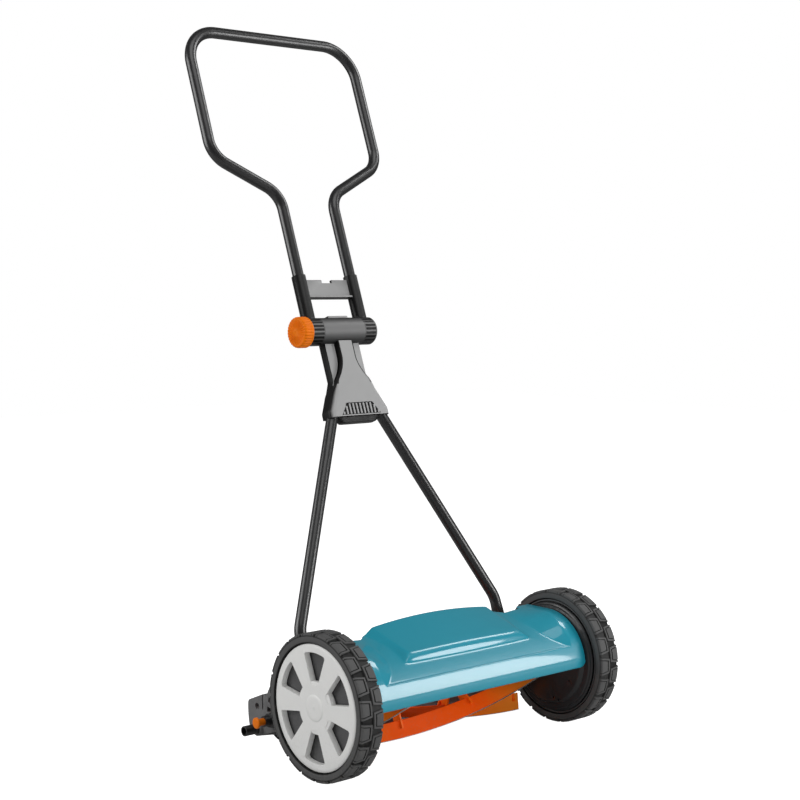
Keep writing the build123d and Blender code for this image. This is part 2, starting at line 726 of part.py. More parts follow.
def hood():
    """Pressed cover with round ends, a flatter sunk panel, a raised middle and a rolled front lip."""
    shell = hood_form(0.0, HOOD_LENGTH / 2, HOOD_BACK, 0.0)
    shell -= hood_form(HOOD_WALL, HOOD_LENGTH, HOOD_BACK + OVERRUN, -OVERRUN)
    notch = Box(HOOD_NOTCH_W, 2 * HOOD_NOTCH_DEPTH, 4 * HOOD_R)
    notch_x = HOOD_LENGTH / 2 - HOOD_NOTCH_END - HOOD_NOTCH_W / 2
    for side in (1, -1):
        shell -= Pos(side * notch_x, HOOD_BACK, 0) * notch
    lip_y = -HOOD_R + LIP_R
    return shell + rod(-HOOD_LENGTH / 2, HOOD_LENGTH / 2, LIP_R, lip_y, 0)


def hood_form(inset, half_length, back_y, foot_z):
    """Filled form of the hood, drawn in by an inset."""
    form = slab(hood_section(HOOD_R - inset, back_y, foot_z), -half_length, half_length)
    cut = panel_cut(inset, back_y + 1)
    return form - cut + bulge(inset, back_y)


def hood_section(r, back_y, foot_z):
    """Cross-section in (y, z): a quarter round about the axle and a flat back."""
    top, front = (0, r), (-r, 0)
    middle = polar(r, 135)
    return make_face([
        ThreePointArc(front, middle, top),
        Line(top, (back_y, r)),
        Line((back_y, r), (back_y, foot_z)),
        Line((back_y, foot_z), (-r, foot_z)),
    ] + ([Line((-r, foot_z), front)] if foot_z else []))


def panel_cut(inset, back_y):
    """What is cut away above the sunk panel: flat in the middle, ramped up to the round ends."""
    r = HOOD_R - inset
    flat_x = HOOD_LENGTH / 2 - PANEL_FLAT_INSET
    end_x = HOOD_LENGTH / 2 - PANEL_END_INSET
    start = 180 - PANEL_FRONT_ANGLE
    low = polar(r - PANEL_STEP, start)
    rear = (back_y, PANEL_BACK_Z - inset)
    chord = Vector(*rear) - Vector(*low)
    swell = Vector(-chord.Y, chord.X).normalized() * PANEL_SWELL
    crown = (Vector(*low) + Vector(*rear)) / 2 + swell
    sunk = panel_face(r, low, (crown.X, crown.Y), rear, back_y)
    end_r = r + PANEL_STEP / 3
    round_end = panel_face(r, polar(end_r, start), polar(end_r, start / 2 + 45), (0, end_r), back_y)
    middle = slab(sunk, -flat_x, flat_x)
    ramp = loft([
        Pos(flat_x, 0, 0) * (Plane.YZ * sunk),
        Pos(end_x, 0, 0) * (Plane.YZ * round_end),
    ], ruled=True)
    return middle + ramp + mirror(ramp, about=Plane.YZ)


def panel_face(r, low, crown, rear, back_y):
    """Outline in (y, z) of the space above one line of the panel."""
    roof = 2 * r
    outer = polar(r + PANEL_STEP * 4, 180 - PANEL_FRONT_ANGLE)
    back = back_y + 1
    return make_face([
        ThreePointArc(low, crown, rear),
        Line(rear, (back, rear[1])),
        Line((back, rear[1]), (back, roof)),
        Line((back, roof), (outer[0], roof)),
        Line((outer[0], roof), outer),
        Line(outer, low),
    ])


def bulge(inset, back_y):
    """Raised middle of the hood: an arched, tapering hump with a sloped front."""
    stretch = (back_y - BULGE_FRONT_Y) / (HOOD_BACK - BULGE_FRONT_Y)
    back_half = BULGE_FRONT_W / 2 + (BULGE_BACK_W - BULGE_FRONT_W) / 2 * stretch
    shoulder = BULGE_FRONT_Z + (BULGE_EDGE_Z - BULGE_FRONT_Z) * stretch
    crest = BULGE_FRONT_Z + BULGE_ARCH + (BULGE_CREST_Z - BULGE_FRONT_Z - BULGE_ARCH) * stretch
    foot_y = BULGE_FRONT_Y - BULGE_SLOPE
    front_half = BULGE_FRONT_W / 2
    sections = [
        bulge_face(back_y, back_half, shoulder, crest, inset),
        bulge_face(BULGE_FRONT_Y + inset, front_half, BULGE_FRONT_Z, BULGE_FRONT_Z + BULGE_ARCH, inset),
        bulge_face(foot_y + inset, front_half, BULGE_FOOT_Z, BULGE_FOOT_Z + BULGE_ARCH, inset),
    ]
    return loft(sections, ruled=True)


def bulge_face(y, half, shoulder_z, crest_z, inset):
    """Section of the hump across the mower: flared sides and an arched top."""
    foot_z = BULGE_FLOOR_Z - inset
    half_foot = half + (shoulder_z - BULGE_FLOOR_Z) * BULGE_FLARE - inset
    half_top = half - inset
    left, right = (-half_top, y, shoulder_z - inset), (half_top, y, shoulder_z - inset)
    return make_face([
        ThreePointArc(left, (0, y, crest_z - inset), right),
        Line(right, (half_foot, y, foot_z)),
        Line((half_foot, y, foot_z), (-half_foot, y, foot_z)),
        Line((-half_foot, y, foot_z), left),
    ])


def bed_carrier():
    """Curved back plate behind the reel with a foot that carries the knife."""
    angles = CARRIER_FOOT_ANGLE, CARRIER_TOP_ANGLE
    outline = Pos(REEL_Y, REEL_Z) * arc_strip(CARRIER_R, CARRIER_R + CARRIER_T, *angles)
    foot_back = KNIFE_Y + KNIFE_W
    foot = make_face(Polyline(
        (foot_back, KNIFE_Z),
        (KNIFE_Y + KNIFE_BARE, KNIFE_Z),
        (KNIFE_Y + KNIFE_BARE, REEL_Z),
        (foot_back, REEL_Z - CARRIER_SHOULDER),
        close=True,
    ))
    foot -= Pos(REEL_Y, REEL_Z) * Circle(CARRIER_R)
    half = ARM_IN_X - BED_GAP - CARRIER_END_GAP
    bolts = rod(-half, half, BED_BOLT_R, BED_BOLT_Y, bed_bolt_z())
    bolts -= rod(-half + BED_BOLT_GRIP, half - BED_BOLT_GRIP, BED_BOLT_R, BED_BOLT_Y, bed_bolt_z())
    return slab(outline + foot, -half, half) - bolts


def arc_strip(r_in, r_out, a0, a1):
    """Curved strip between two radii and two angles."""
    mid = (a0 + a1) / 2
    outer = ThreePointArc(polar(r_out, a0), polar(r_out, mid), polar(r_out, a1))
    inner = ThreePointArc(polar(r_in, a1), polar(r_in, mid), polar(r_in, a0))
    return make_face([outer, Line(outer @ 1, inner @ 0), inner, Line(inner @ 1, outer @ 0)])


def bed_knife():
    """Bottom knife with a ground front edge, under the carrier's foot."""
    half = BLADE_END + KNIFE_T
    outline = make_face(Polyline(
        (KNIFE_Y, KNIFE_Z),
        (KNIFE_Y + KNIFE_W, KNIFE_Z),
        (KNIFE_Y + KNIFE_W, KNIFE_Z - KNIFE_T),
        (KNIFE_Y + KNIFE_BEVEL, KNIFE_Z - KNIFE_T),
        (KNIFE_Y, KNIFE_Z - KNIFE_EDGE),
        close=True,
    ))
    knife = slab(outline, -half, half)
    for x in knife_screw_places():
        knife -= Pos(x, KNIFE_SCREW_Y, KNIFE_Z) * Cylinder(KNIFE_SCREW_R, 4 * KNIFE_T)
    return knife


def knife_screw_places():
    """Places of the knife's screws along the mower."""
    span = BLADE_LENGTH * KNIFE_SCREW_SPAN
    return [span * (i / (KNIFE_SCREWS - 1) - 0.5) for i in range(KNIFE_SCREWS)]


def knife_screws():
    """Screws that hold the knife to its carrier from below."""
    y = KNIFE_SCREW_Y
    down = (Align.CENTER, Align.CENTER, Align.MAX)
    screws = []
    for x in knife_screw_places():
        head = Pos(x, y, KNIFE_Z - KNIFE_T) * Cylinder(KNIFE_HEAD_R, KNIFE_HEAD_T, align=down)
        shank = Pos(x, y, KNIFE_Z) * Cylinder(KNIFE_SCREW_R, KNIFE_T, align=down)
        screws.append(head + shank)
    return Compound(children=screws)


def bed_bolt():
    """Bolt that holds one end of the knife carrier to the side plate."""
    bolt_in = ARM_IN_X - BED_GAP - CARRIER_END_GAP - BED_BOLT_GRIP + SLACK
    shank = rod(bolt_in, PLATE_OUT_X, BED_BOLT_R, BED_BOLT_Y, bed_bolt_z())
    head = rod(PLATE_OUT_X, PLATE_OUT_X + BOLT_HEAD_T, BED_BOLT_R * 2, BED_BOLT_Y, bed_bolt_z())
    return shank + head


def tie_bar():
    """Round bar between the side plates, under the hood."""
    return rod(-INNER_X, INNER_X, TIE_R, TIE_Y, TIE_Z)


def pivot_bolt(head_x, y, z):
    """Headed bolt that something turns on, screwed into the side plate."""
    shank = rod(head_x, PLATE_OUT_X, PIVOT_BOLT_R, y, z)
    return shank + rod(head_x - BOLT_HEAD_T, head_x, BOLT_HEAD_R, y, z)


# Rear roller


def roller_arm():
    """Height arm: pivot hub, comb of notches for the latch, and a cone for the roller axle."""
    comb = Pos(ARM_PIVOT_Y, ARM_PIVOT_Z) * (comb_face() + tail_face())
    arm = slab(comb, ARM_IN_X, ARM_OUT_X)
    arm += rod(ARM_IN_X, ARM_OUT_X, ARM_HUB_R, ARM_PIVOT_Y, ARM_PIVOT_Z)
    arm += link(ARM_PIVOT_Y, ARM_PIVOT_Z, ARM_HALF_W, ROLLER_Y, ROLLER_Z, CONE_SMALL_R, ARM_IN_X, ARM_OUT_X)
    cone_in = ROLLER_LENGTH / 2 + CONE_PLAY
    cone_out = ARM_PLANE_X + CONE_PROUD
    arm += turned([
        (cone_in, 0),
        (cone_in, CONE_LARGE_R - CONE_ROUND / 2),
        (cone_in + CONE_ROUND, CONE_LARGE_R),
        (cone_out, CONE_SMALL_R),
        (cone_out, 0),
    ], ROLLER_Y, ROLLER_Z)
    for step in range(COMB_STEPS):
        turn = LATCH_ANGLE + COMB_STEP * step
        depth = NOTCH_END - NOTCH_FLOOR
        slot = Pos(NOTCH_FLOOR + depth / 2, 0) * Rectangle(depth, NOTCH_W)
        slot += Pos(NOTCH_FLOOR, 0) * Circle(NOTCH_W / 2)
        notch = Pos(ARM_PIVOT_Y, ARM_PIVOT_Z) * Rot(Z=turn) * slot
        arm -= slab(notch, ARM_IN_X - WELD, ARM_OUT_X + WELD)
    arm -= rod(ARM_IN_X - WELD, ARM_OUT_X + WELD, PIVOT_BOLT_R + RUN, ARM_PIVOT_Y, ARM_PIVOT_Z)
    return arm - rod(cone_in - WELD, cone_out + WELD, ROLLER_AXLE_R, ROLLER_Y, ROLLER_Z)


def comb_face():
    """Sector about the arm's pivot that the notches are cut into."""
    low = LATCH_ANGLE - COMB_STEP * COMB_HEEL
    arc = ThreePointArc(polar(COMB_R, low), polar(COMB_R, (low + COMB_TOP) / 2), polar(COMB_R, COMB_TOP))
    return make_face([arc, Line(arc @ 1, (0, 0)), Line((0, 0), arc @ 0)])


def tail_face():
    """Rounded tail of the comb behind the roller axle, with a hole and a slit finger."""
    middle = (TAIL_LOW + TAIL_HIGH) / 2
    arc = ThreePointArc(polar(TAIL_R, TAIL_LOW), polar(TAIL_R, middle), polar(TAIL_R, TAIL_HIGH))
    crest = polar(TAIL_CREST_R, TAIL_CREST)
    face = make_face([arc, Line(arc @ 1, crest), Line(crest, (0, 0)), Line((0, 0), arc @ 0)])
    corners = [v for v in face.vertices() if Vector(v.X, v.Y, 0).length > TAIL_CREST_R / 2]
    face = fillet(corners, TAIL_ROUND)
    face -= Pos(*polar(TAIL_HOLE_REACH, TAIL_HOLE_ANGLE)) * Circle(TAIL_HOLE_R)
    height = TAIL_CREST_R / 2
    return face - Pos(TAIL_SLIT_REACH, TAIL_SLIT_FOOT + height / 2) * Rectangle(TAIL_SLIT, height)


def roller_axle():
    """Tube across both arms; its open ends stand out at the sides."""
    end = ROLLER_AXLE_LENGTH / 2
    return sleeve(-end, end, ROLLER_AXLE_R, ROLLER_AXLE_BORE, ROLLER_Y, ROLLER_Z)


def roller():
    """Hollow drum with a web and a hub at each end."""
    end = ROLLER_LENGTH / 2
    hub_in = end - ROLLER_BUSH_L
    skin = ROLLER_R - ROLLER_WALL
    hub_r = ROLLER_BUSH_R + ROLLER_HUB_WALL
    disc = end - ROLLER_DISC
    rim = end - ROLLER_ROUND / 2
    half = [
        (hub_in, ROLLER_BUSH_R),
        (rim, ROLLER_BUSH_R),
        (rim, hub_r),
        (disc, hub_r),
        (disc, skin),
        (rim, skin),
        (end, ROLLER_R - ROLLER_ROUND),
        (end - ROLLER_ROUND, ROLLER_R),
    ]
    web_in = disc - ROLLER_WALL
    inner = [(web_in, skin), (web_in, hub_r), (hub_in, hub_r)]
    left = [(-x, r) for x, r in reversed(half)]
    left_inner = [(-x, r) for x, r in reversed(inner)]
    return turned(half + left + left_inner + inner, ROLLER_Y, ROLLER_Z)


def roller_bush():
    """Bush between the roller's hub and the axle tube."""
    end = ROLLER_LENGTH / 2
    bore_r = ROLLER_AXLE_R + RUN
    return sleeve(end - ROLLER_BUSH_L, end - CONE_PLAY / 2, ROLLER_BUSH_R, bore_r, ROLLER_Y, ROLLER_Z)


def latch_pin():
    """Steel pin that is pushed into a notch of the arm."""
    tip = ARM_OUT_X + LATCH_PLAY
    root = LATCH_END - LATCH_HEAD_T - LATCH_PIN_GRIP
    return turned([
        (tip, 0),
        (tip, LATCH_PIN_R - LATCH_CHAMFER),
        (tip + LATCH_CHAMFER, LATCH_PIN_R),
        (root, LATCH_PIN_R),
        (root, 0),
    ], LATCH_Y, LATCH_Z)


def latch_knob():
    """Push knob with a flat, rounded head on the latch pin."""
    stem_in = ARM_OUT_X + LATCH_PLAY + LATCH_TRAVEL
    head_in = LATCH_END - LATCH_HEAD_T
    knob = turned([
        (stem_in, 0),
        (stem_in, LATCH_STEM_R),
        (head_in - 2 * LATCH_CHAMFER, LATCH_STEM_R),
        (head_in, LATCH_HEAD_R - LATCH_CHAMFER),
        (head_in + LATCH_CHAMFER, LATCH_HEAD_R),
        (LATCH_END - 2 * LATCH_CHAMFER, LATCH_HEAD_R),
        (LATCH_END - LATCH_CHAMFER / 2, LATCH_HEAD_R - 2 * LATCH_CHAMFER),
        (LATCH_END, LATCH_HEAD_R - 4 * LATCH_CHAMFER),
        (LATCH_END, 0),
    ], LATCH_Y, LATCH_Z)
    return knob - rod(stem_in - WELD, head_in - LATCH_PIN_GRIP, LATCH_PIN_R, LATCH_Y, LATCH_Z)


# Handle, drawn flat with X across, Y up along the handle and Z to its front


def lower_tube():
    """Splayed tube with a flattened, drilled end on the pivot bolt."""
    socket = Vector(SOCKET_X, BARREL_S + SOCKET_S)
    bend = Vector(LUG_X, BEND_S)
    top = socket + (socket - bend).normalized() * SOCKET_DEPTH
    start = Vector(LUG_X, LUG_LENGTH + LUG_BLEND)
    path = FilletPolyline(start, bend, top, radius=BEND_R)
    section = Plane(origin=start, x_dir=(1, 0, 0), z_dir=(0, 1, 0))
    tube = sweep(section * (Circle(TUBE_R) - Circle(TUBE_R - TUBE_WALL)), path=path)
    flat = Plane(origin=(LUG_X, LUG_LENGTH, 0), x_dir=(1, 0, 0), z_dir=(0, 1, 0))
    neck = loft([section * Circle(TUBE_R), flat * Ellipse(LUG_T / 2, LUG_W / 2)])
    outline = Circle(LUG_W / 2) + Pos(0, LUG_LENGTH / 2) * Rectangle(LUG_W, LUG_LENGTH)
    outline -= Circle(PIVOT_BOLT_R + RUN)
    side = Plane(origin=(LUG_X - LUG_T / 2, 0, 0), x_dir=(0, 0, -1), z_dir=(1, 0, 0))
    lug = extrude(side * outline, LUG_T)
    return HANDLE * (tube + neck + lug)


def joint_housing():
    """Lower half of the folding joint: centre knuckle, ridged shield and two tube sockets."""
    t = BARREL_S
    foot_half = SOCKET_X + TUBE_R + SOCKET_WALL
    back = Pos(0, 0, HOUSING_BACK)
    plate = make_face(Polyline(
        (-HOUSING_HALF_W, t),
        (-HOUSING_HALF_W, t + HOUSING_WAIST),
        (-foot_half, t + SOCKET_S),
        (foot_half, t + SOCKET_S),
        (HOUSING_HALF_W, t + HOUSING_WAIST),
        (HOUSING_HALF_W, t),
        close=True,
    ))
    body = extrude(back * plate, WEB_PLATE_TOP - HOUSING_BACK)
    body += extrude(Pos(0, 0, HOUSING_BACK) * spine_face(foot_half), SPINE_TOP - HOUSING_BACK)
    lip_half = foot_half - FOOT_LIP_INSET
    lip = make_face(Polyline(
        (-lip_half, t + SOCKET_S),
        (lip_half, t + SOCKET_S),
        (lip_half - FOOT_LIP_TAPER, t + SOCKET_S - FOOT_LIP),
        (-lip_half + FOOT_LIP_TAPER, t + SOCKET_S - FOOT_LIP),
        close=True,
    ))
    body += extrude(back * lip, -HOUSING_BACK)
    body += rod(-KNUCKLE_HALF, KNUCKLE_HALF, BARREL_R, t, 0)
    body += Pos(RIDGE_X, t + BARREL_R, 0) * Box(RIDGE_LENGTH, RIDGE_H, RIDGE_W)
    for side in (1, -1):
        body += socket_rod(side, TUBE_R + SOCKET_WALL, -SOCKET_COLLAR, SOCKET_DEPTH)
    for side in (1, -1):
        body -= socket_rod(side, TUBE_R, -SOCKET_DEPTH, SOCKET_DEPTH)
    body -= grille_slots()
    body -= rod(-KNUCKLE_HALF - WELD, KNUCKLE_HALF + WELD, CLAMP_BOLT_R, t, 0)
    return HANDLE * body


def socket_rod(side, r, start, end):
    """Round bar on a lower tube's line, from start to end past the socket's mouth."""
    mouth = Vector(side * SOCKET_X, BARREL_S + SOCKET_S, 0)
    along = (mouth - Vector(side * LUG_X, BEND_S, 0)).normalized()
    base = Plane(origin=mouth + along * start, z_dir=along)
    return extrude(base * Circle(r), end - start)


def spine_face(foot_half):
    """Raised shield: a narrow spine that sweeps out to the full width of the foot."""
    t = BARREL_S
    neck = t + SPINE_NECK
    flare = (SPINE_HALF_W + SPINE_FLARE, neck - SPINE_FLARE_DROP)
    waist = t + HOUSING_WAIST
    foot = t + SOCKET_S
    waist_half = HOUSING_HALF_W - SPINE_INSET
    low_half = foot_half - SPINE_INSET
    side = [
        Line((SPINE_HALF_W, t), (SPINE_HALF_W, neck)),
        ThreePointArc((SPINE_HALF_W, neck), flare, (waist_half, waist)),
        Line((waist_half, waist), (low_half, foot)),
    ]
    other = [mirror(edge, about=Plane.YZ) for edge in side]
    top = Line((-SPINE_HALF_W, t), (SPINE_HALF_W, t))
    return make_face([top, *side, Line((low_half, foot), (-low_half, foot)), *other])


def grille_slots():
    """Row of upright slots in the foot of the shield, between two slanted ends."""
    pitch = 2 * GRILLE_FOOT_HALF_W / GRILLE_SLOTS
    slots = []
    for i in range(GRILLE_SLOTS):
        x = pitch * (i - (GRILLE_SLOTS - 1) / 2)
        past = max(0.0, abs(x) - GRILLE_TOP_HALF_W) / (GRILLE_FOOT_HALF_W - GRILLE_TOP_HALF_W)
        top = GRILLE_TOP + (GRILLE_FOOT - GRILLE_TOP) * past
        height = top - SOCKET_S - GRILLE_MARGIN
        middle = BARREL_S + SOCKET_S + GRILLE_MARGIN + height / 2
        if height > GRILLE_MARGIN:
            slots.append(Pos(x, middle, SPINE_TOP) * Box(pitch / 2, height, 2 * GRILLE_DEPTH))
    return slots


def upper_bracket():
    """Upper half of the folding joint: two slotted knuckles, tube sleeves and a cross web."""
    t = BARREL_S
    x0 = KNUCKLE_HALF + SLACK
    bracket = None
    for side in (1, -1):
        xa, xb = sorted((side * x0, side * KNUCKLE_END))
        knuckle = rod(xa, xb, BARREL_R, t, 0)
        post = Plane(origin=(side * NECK_X, t, 0), x_dir=(1, 0, 0), z_dir=(0, 1, 0))
        knuckle += extrude(post * Circle(TUBE_R + SLEEVE_WALL), SLEEVE_TOP)
        floor = Plane(origin=(side * NECK_X, t + SLEEVE_FLOOR, 0), x_dir=(1, 0, 0), z_dir=(0, 1, 0))
        knuckle -= extrude(floor * Circle(TUBE_R), SLEEVE_TOP)
        knuckle -= knurl(xa + KNURL_MARGIN, xb - KNURL_MARGIN)
        bracket = knuckle if bracket is None else bracket + knuckle
    web_half = NECK_X - TUBE_R - SLEEVE_WALL / 5
    web = Box(2 * web_half, WEB_TOP - WEB_FOOT, WEB_PLATE_T)
    bracket += Pos(0, t + (WEB_TOP + WEB_FOOT) / 2, 0) * web
    bracket += Pos(0, t + WEB_FOOT, 0) * Box(2 * web_half, WEB_LIP, WEB_LIP_W)
    bracket -= Pos(0, t + WEB_TOP, 0) * Box(WEB_NOTCH_W, 2 * WEB_NOTCH, 2 * WEB_LIP_W)
    bracket -= rod(-KNUCKLE_END - WELD, KNUCKLE_END, CLAMP_BOLT_R + RUN, t, 0)
    bracket -= rod(KNUCKLE_END - BOLT_POCKET, KNUCKLE_END + WELD, BOLT_HEAD_R + POCKET_PLAY, t, 0)
    return HANDLE * bracket


def knurl(x0, x1):
    """Ring of long slots round a knuckle."""
    slots = []
    for i in range(KNURL_SLOTS):
        angle = 360 / KNURL_SLOTS * (i + 0.5)
        slot = Pos((x0 + x1) / 2, 0, BARREL_R) * Box(x1 - x0, KNURL_W, 2 * KNURL_DEPTH)
        slots.append(Pos(0, BARREL_S, 0) * Rot(X=angle) * slot)
    return slots


def handle_loop():
    """Bent tube: two necks, sloping shoulders, uprights and the grip bar across the top."""
    t = BARREL_S
    right = [(NECK_X, t + SLEEVE_FLOOR), (NECK_X, t + SHOULDER_S), (UPRIGHT_X, t + UPRIGHT_S)]
    points = right + [(UPRIGHT_X, t + LOOP_TOP_S), (-UPRIGHT_X, t + LOOP_TOP_S)]
    points += [(-x, s) for x, s in reversed(right)]
    radii = [BEND_R, BEND_R, LOOP_CORNER_R, LOOP_CORNER_R, BEND_R, BEND_R]
    path = FilletPolyline(*points, radius=radii)
    section = Plane(origin=(NECK_X, t + SLEEVE_FLOOR, 0), x_dir=(1, 0, 0), z_dir=(0, 1, 0))
    ring = section * (Circle(TUBE_R) - Circle(TUBE_R - TUBE_WALL))
    return HANDLE * sweep(ring, path=path)


def clamp_bolt():
    """Cross bolt through the folding joint."""
    head_in = KNUCKLE_END - BOLT_POCKET + SLACK
    shank = rod(-KNUCKLE_END - SLACK - KNOB_LENGTH + BOLT_END, head_in, CLAMP_BOLT_R, BARREL_S, 0)
    hexagon = Pos(BARREL_S, 0) * RegularPolygon(BOLT_HEAD_R, 6)
    return HANDLE * (shank + slab(hexagon, head_in, head_in + BOLT_POCKET / 2))


def barrel_cap():
    """Domed cap that closes the end of the joint over the bolt's head."""
    x0 = KNUCKLE_END
    plug_r = BOLT_HEAD_R + POCKET_PLAY
    dome = turned([
        (x0 - BOLT_POCKET / 4, 0),
        (x0 - BOLT_POCKET / 4, plug_r),
        (x0, plug_r),
        (x0, BARREL_R),
        (x0 + BARREL_CAP * 0.5, BARREL_R * 0.95),
        (x0 + BARREL_CAP * 0.85, BARREL_R * 0.82),
        (x0 + BARREL_CAP, BARREL_R * 0.56),
        (x0 + BARREL_CAP, 0),
    ], BARREL_S, 0)
    return HANDLE * dome


def clamp_knob():
    """Fluted hand knob that tightens the folding joint."""
    x1 = -KNUCKLE_END - SLACK
    x0 = x1 - KNOB_LENGTH
    knob = turned([
        (x1, 0),
        (x1, KNOB_R - KNOB_ROUND),
        (x1 - KNOB_ROUND, KNOB_R),
        (x0 + 2 * KNOB_ROUND, KNOB_R),
        (x0 + KNOB_ROUND / 2, KNOB_R - KNOB_ROUND),
        (x0, KNOB_R - 3 * KNOB_ROUND),
        (x0 + KNOB_ROUND / 2, KNOB_R - 6 * KNOB_ROUND),
        (x0 + KNOB_ROUND / 2, 0),
    ], BARREL_S, 0)
    flutes = []
    for i in range(KNOB_FLUTES):
        y, z = polar(KNOB_R + FLUTE_RISE, 360 / KNOB_FLUTES * i)
        flutes.append(rod(x0 - WELD, x1 - FLUTE_END, FLUTE_R, BARREL_S + y, z))
    knob -= flutes
    return HANDLE * (knob - rod(x0 + BOLT_END, x1 + WELD, CLAMP_BOLT_R + RUN, BARREL_S, 0))


def mower():
    """All pieces by name."""
    pieces = {}
    pieces |= both_sides("tyre", tyre())
    pieces |= both_sides("wheel", wheel())
    pieces |= both_sides("hubcap", hubcap())
    pieces |= both_sides("wheel_bush", wheel_bush())
    pieces |= both_sides("stub_axle", stub_axle())
    pieces |= both_sides("axle_clip", axle_clip())
    pieces |= both_sides("pinion", pinion())
    pieces |= both_sides("drive_key", drive_key())
    pieces |= both_sides("reel_bearing", reel_bearing())
    pieces |= both_sides("side_plate", side_plate())
    pieces |= both_sides("bed_bolt", bed_bolt())
    pieces |= both_sides("roller_arm", roller_arm())
    pieces |= both_sides("roller_bush", roller_bush())
    pieces |= both_sides("arm_bolt", pivot_bolt(ARM_IN_X - SLACK, ARM_PIVOT_Y, ARM_PIVOT_Z))
    pieces |= both_sides("latch_pin", latch_pin())
    pieces |= both_sides("latch_knob", latch_knob())
    pieces |= both_sides("lower_tube", lower_tube())
    pieces |= both_sides("handle_bolt", pivot_bolt(LUG_X - LUG_T / 2 - SLACK, PIVOT_Y, PIVOT_Z))
    blades = [blade(number) for number in range(BLADES)]
    for number, strip in enumerate(blades):
        pieces[f"blade_{number + 1}"] = strip
    for i in range(SPIDERS):
        x = SPIDER_SPAN * (i / (SPIDERS - 1) - 0.5)
        pieces[f"spider_{i + 1}"] = spider(x, blades)
    pieces["reel_shaft"] = reel_shaft()
    pieces["hood"] = hood()
    pieces["bed_carrier"] = bed_carrier()
    pieces["bed_knife"] = bed_knife()
    pieces["knife_screws"] = knife_screws()
    pieces["tie_bar"] = tie_bar()
    pieces["roller_axle"] = roller_axle()
    pieces["roller"] = roller()
    pieces["joint_housing"] = joint_housing()
    pieces["upper_bracket"] = upper_bracket()
    pieces["handle_loop"] = handle_loop()
    pieces["clamp_bolt"] = clamp_bolt()
    pieces["barrel_cap"] = barrel_cap()
    pieces["clamp_knob"] = clamp_knob()
    return pieces


os.makedirs("parts", exist_ok=True)
for name, piece in mower().items():
    placed = GROUND * piece
    placed.label = name
    export_step(placed, os.path.join("parts", name + ".step"))
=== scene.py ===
"""Looks of a hand reel mower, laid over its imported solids.

Sizes are in millimetres about the wheel axle: X across the mower with the clamp knob
at -X, the front at -Y, Z up. Layout.place turns them into the frame's metres.
"""

from __future__ import annotations

import json
import logging
import math
from collections.abc import Callable
from dataclasses import dataclass, field
from enum import Enum

import bmesh
import bpy
import numpy as np
from mathutils import Matrix, Vector

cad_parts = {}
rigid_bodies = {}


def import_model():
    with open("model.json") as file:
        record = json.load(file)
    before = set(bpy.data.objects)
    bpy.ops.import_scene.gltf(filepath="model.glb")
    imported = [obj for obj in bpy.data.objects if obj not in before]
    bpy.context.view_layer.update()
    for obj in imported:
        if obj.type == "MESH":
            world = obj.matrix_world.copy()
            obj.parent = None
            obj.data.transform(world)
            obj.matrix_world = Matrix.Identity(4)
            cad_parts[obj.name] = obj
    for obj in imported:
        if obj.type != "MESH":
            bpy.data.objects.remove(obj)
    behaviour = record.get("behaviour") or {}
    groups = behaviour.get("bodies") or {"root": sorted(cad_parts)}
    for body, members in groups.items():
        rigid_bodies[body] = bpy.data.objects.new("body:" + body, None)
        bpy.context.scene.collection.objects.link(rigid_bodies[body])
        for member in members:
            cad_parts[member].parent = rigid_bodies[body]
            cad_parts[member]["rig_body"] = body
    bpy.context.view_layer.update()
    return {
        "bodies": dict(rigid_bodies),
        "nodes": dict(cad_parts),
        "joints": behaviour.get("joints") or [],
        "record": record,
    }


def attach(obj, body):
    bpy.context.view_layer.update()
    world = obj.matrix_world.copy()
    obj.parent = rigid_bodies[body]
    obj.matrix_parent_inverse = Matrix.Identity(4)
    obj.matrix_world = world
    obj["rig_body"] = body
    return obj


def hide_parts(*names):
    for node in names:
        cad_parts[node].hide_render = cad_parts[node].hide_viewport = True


LOG = logging.getLogger("reel_mower")
MM = 0.001
MERGE = 2e-6  # metres within which the corners of grids are welded
TONE = "tone"  # name of the grey value that a mesh carries, with painted light and shade in it for the tyres and the joint
Points = np.ndarray
Socket = bpy.types.NodeSocket
NodeTree = bpy.types.ShaderNodeTree
Pair = tuple[float, float]
Triple = tuple[float, float, float]


class Side(Enum):
    """The two sides of the mower, with the sign of their X."""

    LEFT = -1
    RIGHT = 1

    @property
    def tag(self) -> str:
        """Ending of the names of this side's pieces."""
        return self.name.lower()


# Shapes


@dataclass(frozen=True)
class Layout:
    """Places of the mower's axes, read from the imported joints."""

    axle: Points
    reel: Points
    pivot: Points
    barrel: Points
    lean: float

    @staticmethod
    def read(joints: list[dict]) -> Layout:
        """Reads the axes.

        Args:
            joints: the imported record's joints.

        Returns:
            The layout, with reel, pivot and barrel in millimetres about the axle.
        """
        place = {j["name"]: np.array(j["pos_m"]) for j in joints if "pos_m" in j}
        axle = place["left_wheel_spin"]
        names = ("reel_spin", "handle_tilt", "handle_fold")
        reel, pivot, barrel = ((place[name] - axle) / MM for name in names)
        rise = barrel - pivot
        return Layout(axle, reel, pivot, barrel, math.atan2(rise[1], rise[2]))

    def place(self, points: Points) -> Points:
        """Millimetres about the axle as metres of the frame."""
        return np.asarray(points, float) * MM + self.axle

    def on_handle(self, x: Points, s: Points, n: Points) -> Points:
        """Points of the handle's plane.

        Args:
            x: distance across the mower.
            s: distance up along the handle from its pivots.
            n: distance to the front of the handle's plane.

        Returns:
            The points about the axle.
        """
        x, s, n = np.broadcast_arrays(x, s, n)
        up, front = math.sin(self.lean), math.cos(self.lean)
        y = self.pivot[1] + s * up - n * front
        z = self.pivot[2] + s * front + n * up
        return np.stack([x, y, z], axis=-1)


